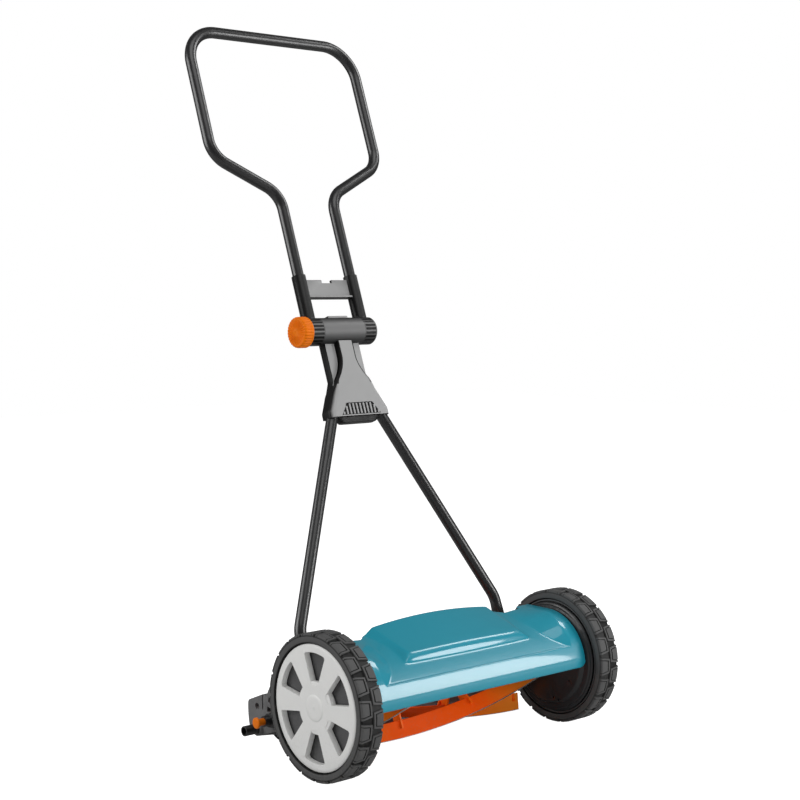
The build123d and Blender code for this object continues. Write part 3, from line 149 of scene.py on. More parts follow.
class Skin:
    """Grids of points that together make one mesh."""

    def __init__(self, layout: Layout) -> None:
        """Starts empty."""
        self.layout = layout
        self.points: list[Points] = []
        self.faces: list[Points] = []
        self.count = 0
        self.open = False

    def grid(self, points: Points, wrap: bool = False, core: Points | None = None) -> Skin:
        """Adds a grid of quads.

        Args:
            points: array of rows by columns by 3.
            wrap: whether the last column joins the first.
            core: for an open sheet, a point on its inner side.

        Returns:
            This skin.
        """
        rows, cols = points.shape[:2]
        index = np.arange(rows * cols).reshape(rows, cols) + self.count
        if wrap:
            index = np.concatenate([index, index[:, :1]], axis=1)
        quads = np.stack([index[:-1, :-1], index[:-1, 1:], index[1:, 1:], index[1:, :-1]], axis=-1)
        spots, quads = points.reshape(-1, 3), quads.reshape(-1, 4)
        if core is not None:
            a, b, c, d = (spots[quads[:, i] - self.count] for i in range(4))
            if np.sum(np.cross(c - a, d - b) * ((a + c) / 2 - core)) < 0:
                quads = quads[:, ::-1]
            self.open = True
        self.points.append(spots)
        self.faces.append(quads)
        self.count += rows * cols
        return self

    def shell(self, points: Points, core: Points | None = None) -> Skin:
        """Adds a ring carried along a path, with its ends closed; the arguments are those of a grid."""
        return self.grid(closed(points), wrap=True, core=core)

    def lump(self, points: Points) -> Skin:
        """Adds a small closed shell that lies about its own middle."""
        return self.shell(points, points.mean(axis=(0, 1)))

    def mesh(self, name: str, crease: float) -> bpy.types.Mesh:
        """Welds the grids into one smooth mesh with its faces outward.

        Args:
            name: the mesh's name.
            crease: angle in degrees past which an edge stays sharp.

        Returns:
            The mesh, in metres.
        """
        data = bpy.data.meshes.new(name)
        spots = self.layout.place(np.concatenate(self.points))
        data.from_pydata(spots, [], np.concatenate(self.faces).tolist())
        work = bmesh.new()
        work.from_mesh(data)
        bmesh.ops.remove_doubles(work, verts=work.verts, dist=MERGE)
        bmesh.ops.dissolve_degenerate(work, dist=MERGE / 4, edges=work.edges)
        if not self.open:
            bmesh.ops.recalc_face_normals(work, faces=work.faces)
        work.to_mesh(data)
        work.free()
        smooth(data, crease)
        return data


def smooth(data: bpy.types.Mesh, crease: float) -> None:
    """Shades a mesh smooth apart from edges past an angle in degrees."""
    data.shade_smooth()
    data.set_sharp_from_angle(angle=math.radians(crease))


def circle(count: int, start: float = 0.0) -> Points:
    """Angles of a closed ring, in radians, without the repeated last one."""
    return start + np.arange(count) * (2 * math.pi / count)


def soft_low(a: Points, b: Points, round_off: float) -> Points:
    """Lower of two surfaces with the crease rounded: their mean less a rounded half difference."""
    return (a + b - np.sqrt((a - b) ** 2 + round_off**2)) / 2


def soft_high(a: Points, b: Points, round_off: float) -> Points:
    """Higher of two surfaces with the crease rounded."""
    return -soft_low(-a, -b, round_off)


def ramp(value: Points, low: Points, high: Points) -> Points:
    """Rises from 0 at low to 1 at high along a smooth step."""
    t = np.clip((value - low) / (high - low), 0, 1)
    return t * t * (3 - 2 * t)


def lathe(profile: Points, centre: Points, columns: int) -> Points:
    """Ring of points about a line along X.

    Args:
        profile: rows of (x, radius).
        centre: a point of the line.
        columns: points round the ring.

    Returns:
        Grid of rows by columns by 3: each profile point carried round the line.
    """
    turn = circle(columns)
    x, r = profile[:, :1], profile[:, 1:]
    ring = [x + 0 * turn, centre[1] + r * np.cos(turn), centre[2] + r * np.sin(turn)]
    return np.stack(ring, axis=-1)


def round_path(corners: list[Pair], radii: list[float], step: float) -> tuple[Points, Points]:
    """Runs and arcs along a flat line of corners.

    Each inner corner becomes an arc tangent to its two runs, sampled every few degrees.

    Args:
        corners: the corners (x, s).
        radii: bend radius at each inner corner.
        step: angle between arc points, in degrees.

    Returns:
        Points (n, 2) and unit tangents (n, 2).
    """
    spots = np.array(corners, float)
    runs = np.diff(spots, axis=0)
    ways = runs / np.linalg.norm(runs, axis=1, keepdims=True)
    points, tangents = [spots[:1]], [ways[:1]]
    for corner, before, after, r in zip(spots[1:-1], ways[:-1], ways[1:], radii):
        cross = before[0] * after[1] - before[1] * after[0]
        bend = math.atan2(cross, float(before @ after))
        turn = np.linspace(0, bend, max(3, int(abs(math.degrees(bend)) / step)))
        left = np.array([-before[1], before[0]]) * math.copysign(1, bend)
        hub = corner - before * r * math.tan(abs(bend) / 2) + left * r
        cos, sin = np.cos(turn)[:, None], np.sin(turn)[:, None]
        arm = -left * r
        points.append(hub + arm * cos + np.array([-arm[1], arm[0]]) * sin)
        tangents.append(before * cos + np.array([-before[1], before[0]]) * sin)
    points.append(spots[-1:])
    tangents.append(ways[-1:])
    return np.concatenate(points), np.concatenate(tangents)


def tube(layout: Layout, points: Points, tangents: Points, rings: Points) -> Points:
    """Ring section carried along a flat path of the handle's plane.

    Args:
        layout: the mower's places.
        points: path points (n, 2) as (x, s).
        tangents: unit tangents (n, 2).
        rings: section at each path point (n, columns, 2) as (across in the plane, to the front).

    Returns:
        Grid of points: path point plus the section turned square to the tangent.
    """
    across = np.stack([tangents[:, 1], -tangents[:, 0]], axis=-1)
    flat = points[:, None, :] + rings[:, :, :1] * across[:, None, :]
    return layout.on_handle(flat[..., 0], flat[..., 1], rings[..., 1])


def closed(grid: Points) -> Points:
    """Grid with both of its open ends drawn to their middles."""
    first, last = (np.broadcast_to(grid[i].mean(axis=0), grid[i].shape)[None] for i in (0, -1))
    return np.concatenate([first, grid, last])


def squared(angle: Points, power: Points) -> tuple[Points, Points]:
    """Cosine and sine with their sizes raised to a power, which squares a circle off."""
    cos, sin = np.cos(angle), np.sin(angle)
    return np.sign(cos) * np.abs(cos) ** power, np.sign(sin) * np.abs(sin) ** power


def add_object(name: str, data: bpy.types.ID) -> bpy.types.Object:
    """New object in the scene."""
    made = bpy.data.objects.new(name, data)
    bpy.context.scene.collection.objects.link(made)
    return made


def vectors(items: bpy.types.bpy_prop_collection, key: str) -> Points:
    """One vector of every face or point of a mesh, in rows."""
    flat = np.empty(len(items) * 3)
    items.foreach_get(key, flat)
    return flat.reshape(-1, 3)


def store_tone(data: bpy.types.Mesh, domain: str, grey: Points) -> None:
    """Stores a grey value on each face or each point of a mesh."""
    data.attributes.new(TONE, "FLOAT", domain).data.foreach_set("value", grey.astype(np.float32))


# Finishes


@dataclass(frozen=True)
class Finish:
    """Values of one painted, moulded or metal finish."""

    colour: Triple
    roughness: float = 0.5
    metallic: float = 0.0
    coat: float = 0.0
    coat_roughness: float = 0.1
    specular: float = 0.5
    grain_scale: float = 900.0
    grain_depth: float = 0.06
    drift: float = 0.08
    roughness_drift: float = 0.08
    dust: float = 0.12
    toned: bool = False


class WearAndLight(Enum):
    """Effects that go on top of a finish: real wear, and painted light on the blades' ends."""

    BARE_RIM = "bare rim"
    BRUSHED = "brushed"
    BLEACHED_ENDS = "bleached ends"


FINISHES: dict[str, Finish] = {
    "tyre_rubber": Finish((0.050, 0.050, 0.052), 0.62, specular=0.30, grain_scale=700, grain_depth=0.12,
                          drift=0.12, toned=True),
    "rim_plastic": Finish((0.075, 0.075, 0.077), 0.45, grain_depth=0.08),
    "hubcap_plastic": Finish((0.78, 0.78, 0.765), 0.40, grain_scale=1500, grain_depth=0.05, drift=0.03),
    "side_plastic": Finish((0.016, 0.016, 0.017), 0.34, grain_scale=1200, grain_depth=0.03, drift=0.10,
                           dust=0.0),
    "arm_plastic": Finish((0.125, 0.125, 0.127), 0.45, grain_depth=0.08),
    "hood_paint": Finish((0.010, 0.262, 0.356), 0.34, specular=0.3, coat=0.7, coat_roughness=0.05,
                         grain_scale=420, grain_depth=0.008, drift=0.02, roughness_drift=0.04, dust=0.0),
    "blade_paint": Finish((1.0, 0.105, 0.003), 0.40, specular=0.15, grain_scale=500, grain_depth=0.05),
    "reel_paint": Finish((1.0, 0.150, 0.005), 0.40, specular=0.15, grain_scale=500),
    "shaft_steel": Finish((0.42, 0.42, 0.43), 0.32, metallic=1.0, grain_scale=600, drift=0.10),
    "bolt_steel": Finish((0.50, 0.49, 0.46), 0.30, metallic=1.0, grain_scale=800, drift=0.12),
    "bush_brass": Finish((0.50, 0.36, 0.13), 0.38, metallic=1.0, grain_depth=0.15),
    "knife_steel": Finish((0.40, 0.40, 0.41), 0.30, metallic=1.0, grain_scale=700, drift=0.12),
    "carrier_paint": Finish((0.16, 0.165, 0.17), 0.42, grain_scale=600, grain_depth=0.08),
    "tube_paint": Finish((0.006, 0.006, 0.0065), 0.33, specular=0.78, grain_scale=300, grain_depth=0.003,
                         drift=0.06, roughness_drift=0.03),
    "roller_plastic": Finish((0.020, 0.020, 0.022), 0.50, grain_depth=0.10),
    "joint_plastic": Finish((0.50, 0.50, 0.50), 0.40, specular=0.16, grain_scale=1300, drift=0.03,
                            toned=True),
    "knuckle_plastic": Finish((0.11, 0.11, 0.112), 0.36, specular=0.16, grain_scale=1300, drift=0.05,
                              toned=True),
    "knob_plastic": Finish((0.80, 0.180, 0.004), 0.40, specular=0.12, grain_scale=1300, grain_depth=0.05,
                           drift=0.04),
}
WEARS_AND_LIGHT: dict[str, tuple[WearAndLight, ...]] = {
    "blade_paint": (WearAndLight.BLEACHED_ENDS, WearAndLight.BARE_RIM),
    "knife_steel": (WearAndLight.BRUSHED,),
    "shaft_steel": (WearAndLight.BRUSHED,),
}


class Tree:
    """A shader node tree under construction."""

    def __init__(self, tree: NodeTree) -> None:
        """Takes the tree."""
        self.tree = tree

    def node(self, kind: str, **settings: object) -> bpy.types.Node:
        """New node of a kind, with its properties set."""
        made = self.tree.nodes.new(kind)
        for key, value in settings.items():
            setattr(made, key, value)
        return made

    def wire(self, source: object, target: Socket) -> None:
        """Links a socket to a target, or sets the target to a plain value."""
        if isinstance(source, Socket):
            self.tree.links.new(source, target)
        else:
            target.default_value = source

    def fill(self, made: bpy.types.Node, values: dict) -> bpy.types.Node:
        """Wires or sets a node's inputs by name or number; gives the node."""
        for label, source in values.items():
            self.wire(source, made.inputs[label])
        return made

    def sums(self, operation: str, *values: object) -> Socket:
        """Math node on sockets or numbers; gives its output."""
        return self.fill(self.node("ShaderNodeMath", operation=operation), dict(enumerate(values))).outputs[0]

    def swing(self, noise: Socket, size: object) -> Socket:
        """A noise about its middle, times a size."""
        return self.sums("MULTIPLY", self.sums("SUBTRACT", noise, 0.5), size)

    def spread(self, value: Socket, low: object, high: object) -> Socket:
        """Smooth step of a value from 0 at low to 1 at high."""
        made = self.node("ShaderNodeMapRange", interpolation_type="SMOOTHSTEP")
        return self.fill(made, {"Value": value, "From Min": low, "From Max": high}).outputs["Result"]

    def coords(self) -> Socket:
        """Object coordinates."""
        return self.node("ShaderNodeTexCoord").outputs["Object"]

    def axes(self) -> bpy.types.bpy_prop_collection:
        """X, Y and Z of the Object coordinates."""
        return self.fill(self.node("ShaderNodeSeparateXYZ"), {0: self.coords()}).outputs

    def noise(self, scale: object, detail: float = 2.0, stretch: Triple | None = None) -> Socket:
        """Noise on Object coordinates, stretched by a Mapping node where asked; gives its value output."""
        coords = self.coords()
        if stretch:
            mapping = self.fill(self.node("ShaderNodeMapping"), {"Scale": stretch, "Vector": coords})
            coords = mapping.outputs["Vector"]
        made = self.node("ShaderNodeTexNoise")
        return self.fill(made, {"Vector": coords, "Scale": scale, "Detail": detail}).outputs["Fac"]

    def blend(self, mask: Socket, colour: Socket, other: Triple) -> Socket:
        """Colour that turns into another where a mask is 1; the colours are the Mix node's inputs 6 and 7."""
        made = self.node("ShaderNodeMix", data_type="RGBA")
        return self.fill(made, {"Factor": mask, 6: colour, 7: (*other, 1.0)}).outputs[2]

    def use(self, group: NodeTree, **values: object) -> bpy.types.Node:
        """Group node; the underscores in the names of its inputs stand for spaces."""
        made = self.node("ShaderNodeGroup", node_tree=group)
        return self.fill(made, {label.replace("_", " "): value for label, value in values.items()})

    def for_camera(self, target: Socket, others: float) -> None:
        """Gives a socket 1 for camera rays and another value for all other rays."""
        seen = self.node("ShaderNodeLightPath").outputs["Is Camera Ray"]
        made = self.fill(self.node("ShaderNodeMapRange"), {"Value": seen, "To Min": others, "To Max": 1.0})
        self.wire(made.outputs["Result"], target)


class Group(Tree):
    """A shader node group under construction."""

    def __init__(self, name: str, inputs: dict[str, object], outputs: tuple[str, ...]) -> None:
        """Makes the group with float inputs, a colour where the default is a tuple, and float outputs."""
        super().__init__(bpy.data.node_groups.new(name, "ShaderNodeTree"))
        for label, value in inputs.items():
            kind = "NodeSocketColor" if isinstance(value, tuple) else "NodeSocketFloat"
            socket = self.tree.interface.new_socket(label, in_out="INPUT", socket_type=kind)
            socket.default_value = value
        for label in outputs:
            kind = "NodeSocketColor" if label == "Color" else "NodeSocketFloat"
            self.tree.interface.new_socket(label, in_out="OUTPUT", socket_type=kind)
        self.start = self.node("NodeGroupInput").outputs
        self.end = self.node("NodeGroupOutput").inputs


class Paintbox:
    """Makes each finish's material once, from shared effect groups."""

    DUST: Triple = (0.33, 0.30, 0.24)
    # Lighter orange painted on the blades' ends as the light that falls there
    PAINTED_LIGHT_ORANGE: Triple = (1.0, 0.27, 0.020)
    BARE_STEEL: Triple = (0.74, 0.73, 0.70)
    RIM_RADIUS = 0.0719
    DUST_TOP = 0.16
    DUST_FULL = 0.01

    def __init__(self, layout: Layout) -> None:
        """Builds the effect groups."""
        self.layout = layout
        self.made: dict[str, bpy.types.Material] = {}
        self.surface = self.surface_group()
        self.rim = self.rim_group()
        self.ends = self.lit_ends_group()
        self.brush = self.brush_group()

    def surface_group(self) -> NodeTree:
        """Group "surface": colour drift, dust towards the ground, roughness drift and fine grain height."""
        g = Group(
            "surface",
            {"Tint": (0.5, 0.5, 0.5, 1.0), "Drift": 0.1, "Dust": 0.1, "Roughness": 0.5,
             "Roughness Drift": 0.1, "Grain Scale": 900.0},
            ("Color", "Roughness", "Height"),
        )
        broad, mottle = g.noise(9.0, 4.0), g.noise(70.0, 3.0)
        mix = g.sums("ADD", g.sums("MULTIPLY", broad, 0.6), g.sums("MULTIPLY", mottle, 0.4))
        drift = g.swing(mix, g.sums("MULTIPLY", g.start["Drift"], 4.0))
        bright = g.node("ShaderNodeHueSaturation")
        g.fill(bright, {"Color": g.start["Tint"], "Value": g.sums("ADD", drift, 1.0)})
        low = g.spread(g.axes()["Z"], self.DUST_TOP, self.DUST_FULL)
        specks = g.spread(g.noise(260.0, 5.0), 0.52, 0.72)
        dust = g.sums("MULTIPLY", g.sums("MULTIPLY", low, specks), g.start["Dust"])
        g.wire(g.blend(dust, bright.outputs["Color"], self.DUST), g.end["Color"])
        rough = g.swing(mottle, g.sums("MULTIPLY", g.start["Roughness Drift"], 3.0))
        rough = g.sums("ADD", g.sums("ADD", rough, g.start["Roughness"]), g.sums("MULTIPLY", dust, 0.4))
        g.wire(g.sums("MINIMUM", g.sums("MAXIMUM", rough, 0.08), 1.0), g.end["Roughness"])
        g.wire(g.noise(g.start["Grain Scale"]), g.end["Height"])
        return g.tree

    def rim_group(self) -> NodeTree:
        """Group "bare rim": mask of what lies past a radius about a line along X, with a worn edge."""
        g = Group("bare rim", {"Centre Y": 0.0, "Centre Z": 0.0, "Radius": 0.07}, ("Mask",))
        axes = g.axes()
        dy = g.sums("SUBTRACT", axes["Y"], g.start["Centre Y"])
        dz = g.sums("SUBTRACT", axes["Z"], g.start["Centre Z"])
        r = g.sums("SQRT", g.sums("ADD", g.sums("MULTIPLY", dy, dy), g.sums("MULTIPLY", dz, dz)))
        edge = g.sums("ADD", r, g.swing(g.noise(240.0, 4.0), 0.0012))
        g.wire(g.spread(edge, g.start["Radius"], g.sums("ADD", g.start["Radius"], 0.0003)), g.end["Mask"])
        return g.tree

    def lit_ends_group(self) -> NodeTree:
        """Group "bleached ends": mask of painted light that grows from a middle stretch of X towards both
        ends, where light falls on the blades.
        """
        g = Group("bleached ends", {"Near": 0.06, "Far": 0.19}, ("Mask",))
        wide = g.sums("ABSOLUTE", g.axes()["X"])
        blotched = g.sums("ADD", wide, g.swing(g.noise(18.0, 3.0), 0.04))
        g.wire(g.spread(blotched, g.start["Near"], g.start["Far"]), g.end["Mask"])
        return g.tree

    def brush_group(self) -> NodeTree:
        """Group "brushed": fine lines along X as a roughness change."""
        g = Group("brushed", {"Strength": 0.15}, ("Roughness",))
        g.wire(g.swing(g.noise(60.0, 3.0, (0.6, 40.0, 40.0)), g.start["Strength"]), g.end["Roughness"])
        return g.tree

    def material(self, slot: str) -> bpy.types.Material:
        """Material of a slot.

        Args:
            slot: the record's material slot.

        Returns:
            The material, made on first use.
        """
        if slot in self.made:
            return self.made[slot]
        finish, wears_and_light = FINISHES[slot], WEARS_AND_LIGHT.get(slot, ())
        made = bpy.data.materials.new(slot)
        made.use_nodes = True
        tree = Tree(made.node_tree)
        effect = tree.use(self.surface, Tint=(*finish.colour, 1.0), Drift=finish.drift, Dust=finish.dust,
                          Roughness=finish.roughness, Roughness_Drift=finish.roughness_drift,
                          Grain_Scale=finish.grain_scale)
        if finish.toned:
            tone = tree.node("ShaderNodeAttribute", attribute_name=TONE)
            tree.wire(tone.outputs["Color"], effect.inputs["Tint"])
        colour, rough, metal = effect.outputs["Color"], effect.outputs["Roughness"], finish.metallic
        bump = tree.fill(tree.node("ShaderNodeBump"), {
            "Strength": finish.grain_depth, "Distance": MM, "Height": effect.outputs["Height"]})
        # Painted light: the blades turn a lighter orange towards both ends
        if WearAndLight.BLEACHED_ENDS in wears_and_light:
            colour = tree.blend(tree.use(self.ends).outputs["Mask"], colour, self.PAINTED_LIGHT_ORANGE)
        if WearAndLight.BARE_RIM in wears_and_light:
            _, y, z = self.layout.place(self.layout.reel)
            metal = tree.use(self.rim, Centre_Y=y, Centre_Z=z, Radius=self.RIM_RADIUS).outputs["Mask"]
            colour = tree.blend(metal, colour, self.BARE_STEEL)
        if WearAndLight.BRUSHED in wears_and_light:
            rough = tree.sums("ADD", rough, tree.use(self.brush).outputs["Roughness"])
        tree.fill(made.node_tree.nodes["Principled BSDF"], {
            "Base Color": colour, "Roughness": rough, "Metallic": metal, "Normal": bump.outputs["Normal"],
            "Specular IOR Level": finish.specular, "Coat Weight": finish.coat,
            "Coat Roughness": finish.coat_roughness})
        self.made[slot] = made
        return made


# Sub-assemblies


@dataclass
class Workshop:
    """What every sub-assembly needs to hand over its pieces."""

    frame: dict
    layout: Layout
    paint: Paintbox
    slots: dict[str, str] = field(init=False)

    def __post_init__(self) -> None:
        """Reads each node's material slot."""
        self.slots = {s["node"]: s["material_slot"] for s in self.frame["record"]["subparts"]}

    def body_of(self, node: str) -> str:
        """Name of the body that a node rides on."""
        return self.frame["nodes"][node]["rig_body"]

    def hand_over(self, name: str, data: bpy.types.Mesh, *nodes: str) -> bpy.types.Object:
        """Makes a finished piece of a mesh.

        Args:
            name: the piece's name.
            data: its mesh, in the frame's metres.
            nodes: the CAD nodes that it stands for; the first gives its body and slot.

        Returns:
            The object.
        """
        piece = add_object(name, data)
        slot = self.slots[nodes[0]]
        data.materials.clear()
        data.materials.append(self.paint.material(slot))
        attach(piece, self.body_of(nodes[0]))
        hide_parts(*nodes)
        LOG.info("piece %s: %d faces for %s", name, len(data.polygons), ", ".join(nodes))
        return piece

    def ease(self, node: str, width: float, segments: int = 2, angle: float = 32.0,
             extra: Skin | None = None) -> bpy.types.Object:
        """Copy of a solid with its edges rounded.

        Args:
            node: the CAD node.
            width: width of the rounding.
            segments: steps of the rounding.
            angle: angle in degrees from which an edge is rounded.
            extra: more detail that joins the copy.

        Returns:
            The piece that replaces the node.
        """
        data = self.frame["nodes"][node].data.copy()
        data.name = "eased_" + node
        work = bmesh.new()
        work.from_mesh(data)
        bmesh.ops.remove_doubles(work, verts=work.verts, dist=MERGE)
        if extra:
            work.from_mesh(extra.mesh("extra_" + node, angle))
        work.to_mesh(data)
        work.free()
        smooth(data, angle)
        piece = self.hand_over("eased_" + node, data, node)
        bevel = piece.modifiers.new("rounding", "BEVEL")
        bevel.width = width * MM
        bevel.segments = segments
        bevel.limit_method = "ANGLE"
        bevel.angle_limit = math.radians(angle)
        bevel.harden_normals = True
        bevel.miter_outer = "MITER_ARC"
        return piece

    def tone(self, piece: bpy.types.Object, rule: Callable[[Points, Points], Points]) -> None:
        """Stores a grey value on each face of a handle piece.

        Args:
            piece: the piece.
            rule: gives the grey of face middles and face normals, both as (x, up, front) of the handle.
        """
        faces = piece.data.polygons
        spot = vectors(faces, "center") / MM - (self.layout.axle / MM + self.layout.barrel)
        up, front = math.sin(self.layout.lean), math.cos(self.layout.lean)
        turn = np.array([[1, 0, 0], [0, up, front], [0, -front, up]]).T
        store_tone(piece.data, "FACE", rule(spot @ turn, vectors(faces, "normal") @ turn))

    def dress(self) -> None:
        """Gives every solid the material of its slot."""
        for name, node in self.frame["nodes"].items():
            node.data.materials.clear()
            node.data.materials.append(self.paint.material(self.slots[name]))
            node.data.polygons.foreach_set("material_index", np.zeros(len(node.data.polygons), np.int32))


@dataclass
class Assembly:
    """A sub-assembly, whose pieces a workshop hands over."""

    shop: Workshop

    @property
    def layout(self) -> Layout:
        """The mower's places."""
        return self.shop.layout

    def mould(self, name: str, skin: Skin, crease: float, node: str) -> bpy.types.Object:
        """Makes the piece that replaces a node.

        Args:
            name: the piece's name.
            skin: its grids.
            crease: angle in degrees past which an edge stays sharp.
            node: the CAD node.

        Returns:
            The piece.
        """
        return self.shop.hand_over(name, skin.mesh(name, crease), node)


# Half section of a tyre from its middle plane over the shoulder to its seat: distance from the plane,
# radius of the base and of the lugs, whether the bar's groove crosses it, how far it takes the lugs' slant
TREAD_OUT = [0.0, 0.8, 1.5, 1.9, 4.2, 4.6, 6.2, 6.6, 10.0, 14.0, 17.4, 18.7, 19.5, 19.8, 19.9]
TREAD_OUT += [20.8, 20.8, 20.8, 20.4, 19.6, 15.0, 14.8, 0.0]
TREAD_BASE = [106.2] * 11 + [105.4, 104.6, 104.3, 104.1, 103.0, 99.6, 96.2, 95.3, 94.9, 94.7, 93.4, 93.4]
TREAD_LUG = [106.2, 106.3, 108.8] + [109.0] * 7 + [108.9, 108.5, 107.6, 106.4, 104.4] + TREAD_BASE[15:]
TREAD_BAR = [0.0] * 5 + [1.0] * 2 + [0.0] * 16
TREAD_SLANT = [0.0] + [1.0] * 15 + [0.5] + [0.0] * 6


@dataclass
class Wheel(Assembly):
    """A wheel: its treaded tyre and the pieces that ride with it."""

    side: Side
    middle: float = 250.0
    pitches: int = 20
    groove: float = 1.5
    foot_half: float = 0.33
    shoulder_half: float = 0.42
    shoulder_at: float = 19.9
    slot_in: float = 0.10
    lug_height: float = 2.8
    side_from: float = 6.0
    rubber: float = 0.078
    # Grey of the painted shade in the tread's grooves, along the shoulder and at the rim seat
    shade_grey: float = 0.005
    ledge_x: float = 268.6
    ledge_roll: float = 1.6
    ledge_radii: Pair = (31.5, 38.9)
    ledge_lip: float = 0.9
    ledge_sunk: float = 0.4

    def tread_row(self, outward: int, stagger: float) -> Points:
        """One half of the tyre, from its middle plane over the shoulder to its seat.

        Each row of the profile has a base radius and a lug radius; columns of each pitch
        stand on the lug, in its U-shaped groove or on the base, and spread with the lug's
        slanted sides.

        Args:
            outward: side of the middle plane that the row is on.
            stagger: shift along the tread in pitches.

        Returns:
            Grid of rows by columns by 3.
        """
        rows = (TREAD_OUT, TREAD_BASE, TREAD_LUG, TREAD_BAR, TREAD_SLANT)
        d, base, lug, bar, slant = (np.array(row)[:, None] for row in rows)
        half = self.foot_half + (self.shoulder_half - self.foot_half) * np.minimum(d / self.shoulder_at, 1)
        slot = half - self.slot_in + np.array([-0.030, -0.016, 0.004, 0.018])
        steps = np.concatenate([0 * half, slot, half + np.array([-0.004, 0.014]), 0 * half + 0.5], axis=1)
        steps = steps * slant + np.arange(8) / 14 * (1 - slant)
        on_lug = np.array([1, 1, 1, 1, 1, 1, 0, 0])
        in_bar = np.array([1, 1, 1, 1, 0, 0, 0, 0])
        in_side = np.array([0, 0, 1, 1, 0, 0, 0, 0]) * (d > self.side_from)
        depth = self.groove * np.maximum(bar * in_bar, in_side)
        depth = depth * np.clip((lug - base) / self.lug_height, 0, 1)
        r = base + (lug - base) * on_lug - depth
        offsets = np.concatenate([-steps[:, 6:0:-1], steps], axis=1)
        radii = np.tile(np.concatenate([r[:, 6:0:-1], r], axis=1), (1, self.pitches))
        turns = np.arange(self.pitches)[:, None, None] + offsets[None] + stagger
        turns = turns.transpose(1, 0, 2).reshape(len(d), -1) * (2 * math.pi / self.pitches) - math.pi / 2
        x = self.side.value * (self.middle + outward * np.broadcast_to(d, radii.shape))
        return np.stack([x, radii * np.cos(turns), radii * np.sin(turns)], axis=-1)

    def paint_groove_shade(self, tyre: bpy.types.Object) -> None:
        """Stores the rubber's grey with shade painted in: dark in the grooves, along the shoulder and at the
        rim seat.

        Args:
            tyre: the tyre piece; its inner row is fainter.
        """
        spot = (vectors(tyre.data.vertices, "co") - self.layout.axle) / MM
        out = np.abs(spot[:, 0]) - self.middle
        d, r = np.abs(out), np.hypot(spot[:, 1], spot[:, 2])
        crest = np.interp(d, [0, 17.4, 18.7, 19.5, 19.9, 20.2], [109.0, 108.9, 108.5, 107.6, 106.0, 103.0])
        # Painted shade where the rubber sinks below the lugs' crest, and in the gap at the rim seat
        sunk = np.clip((crest - r - 0.3) / 1.0, 0, 1) * (d < 20.2) * np.where(out > -0.1, 1.0, 0.75)
        dark = np.maximum(sunk, (r < 95.6) * 1.0)
        store_tone(tyre.data, "POINT", self.rubber * (1 - dark) + self.shade_grey * dark)

    def ledge(self) -> Skin:
        """Builds the ledge at the windows' inner ends: a ring that rolls over the cap's ring."""
        turn = np.linspace(0, math.pi / 2, 6)
        (first, last), roll, face = self.ledge_radii, self.ledge_roll, self.ledge_x
        deep, neck = face - np.array([8.0, 8.0, 2.0, 0.6]), last - self.ledge_lip
        inner = [face + self.ledge_sunk]
        x = np.concatenate([inner, face - roll * (1 - np.cos(turn)), deep, inner])
        r = np.concatenate([[first], last - roll + roll * np.sin(turn), [last, neck, neck, first, first]])
        profile = np.stack([self.side.value * x, r], axis=1)
        return Skin(self.layout).grid(lathe(profile, np.zeros(3), 96), wrap=True)

    def build(self) -> None:
        """Builds the tyre and rounds the hubcap and the drum."""
        tag = self.side.tag
        skin = Skin(self.layout)
        skin.grid(self.tread_row(-1, 0.0), wrap=True).grid(self.tread_row(1, 0.5), wrap=True)
        self.paint_groove_shade(self.mould("treaded_tyre_" + tag, skin, 24, "tyre_" + tag))
        self.shop.ease("hubcap_" + tag, 0.9, 3, extra=self.ledge())
        self.shop.ease("wheel_" + tag, 0.5, 2)


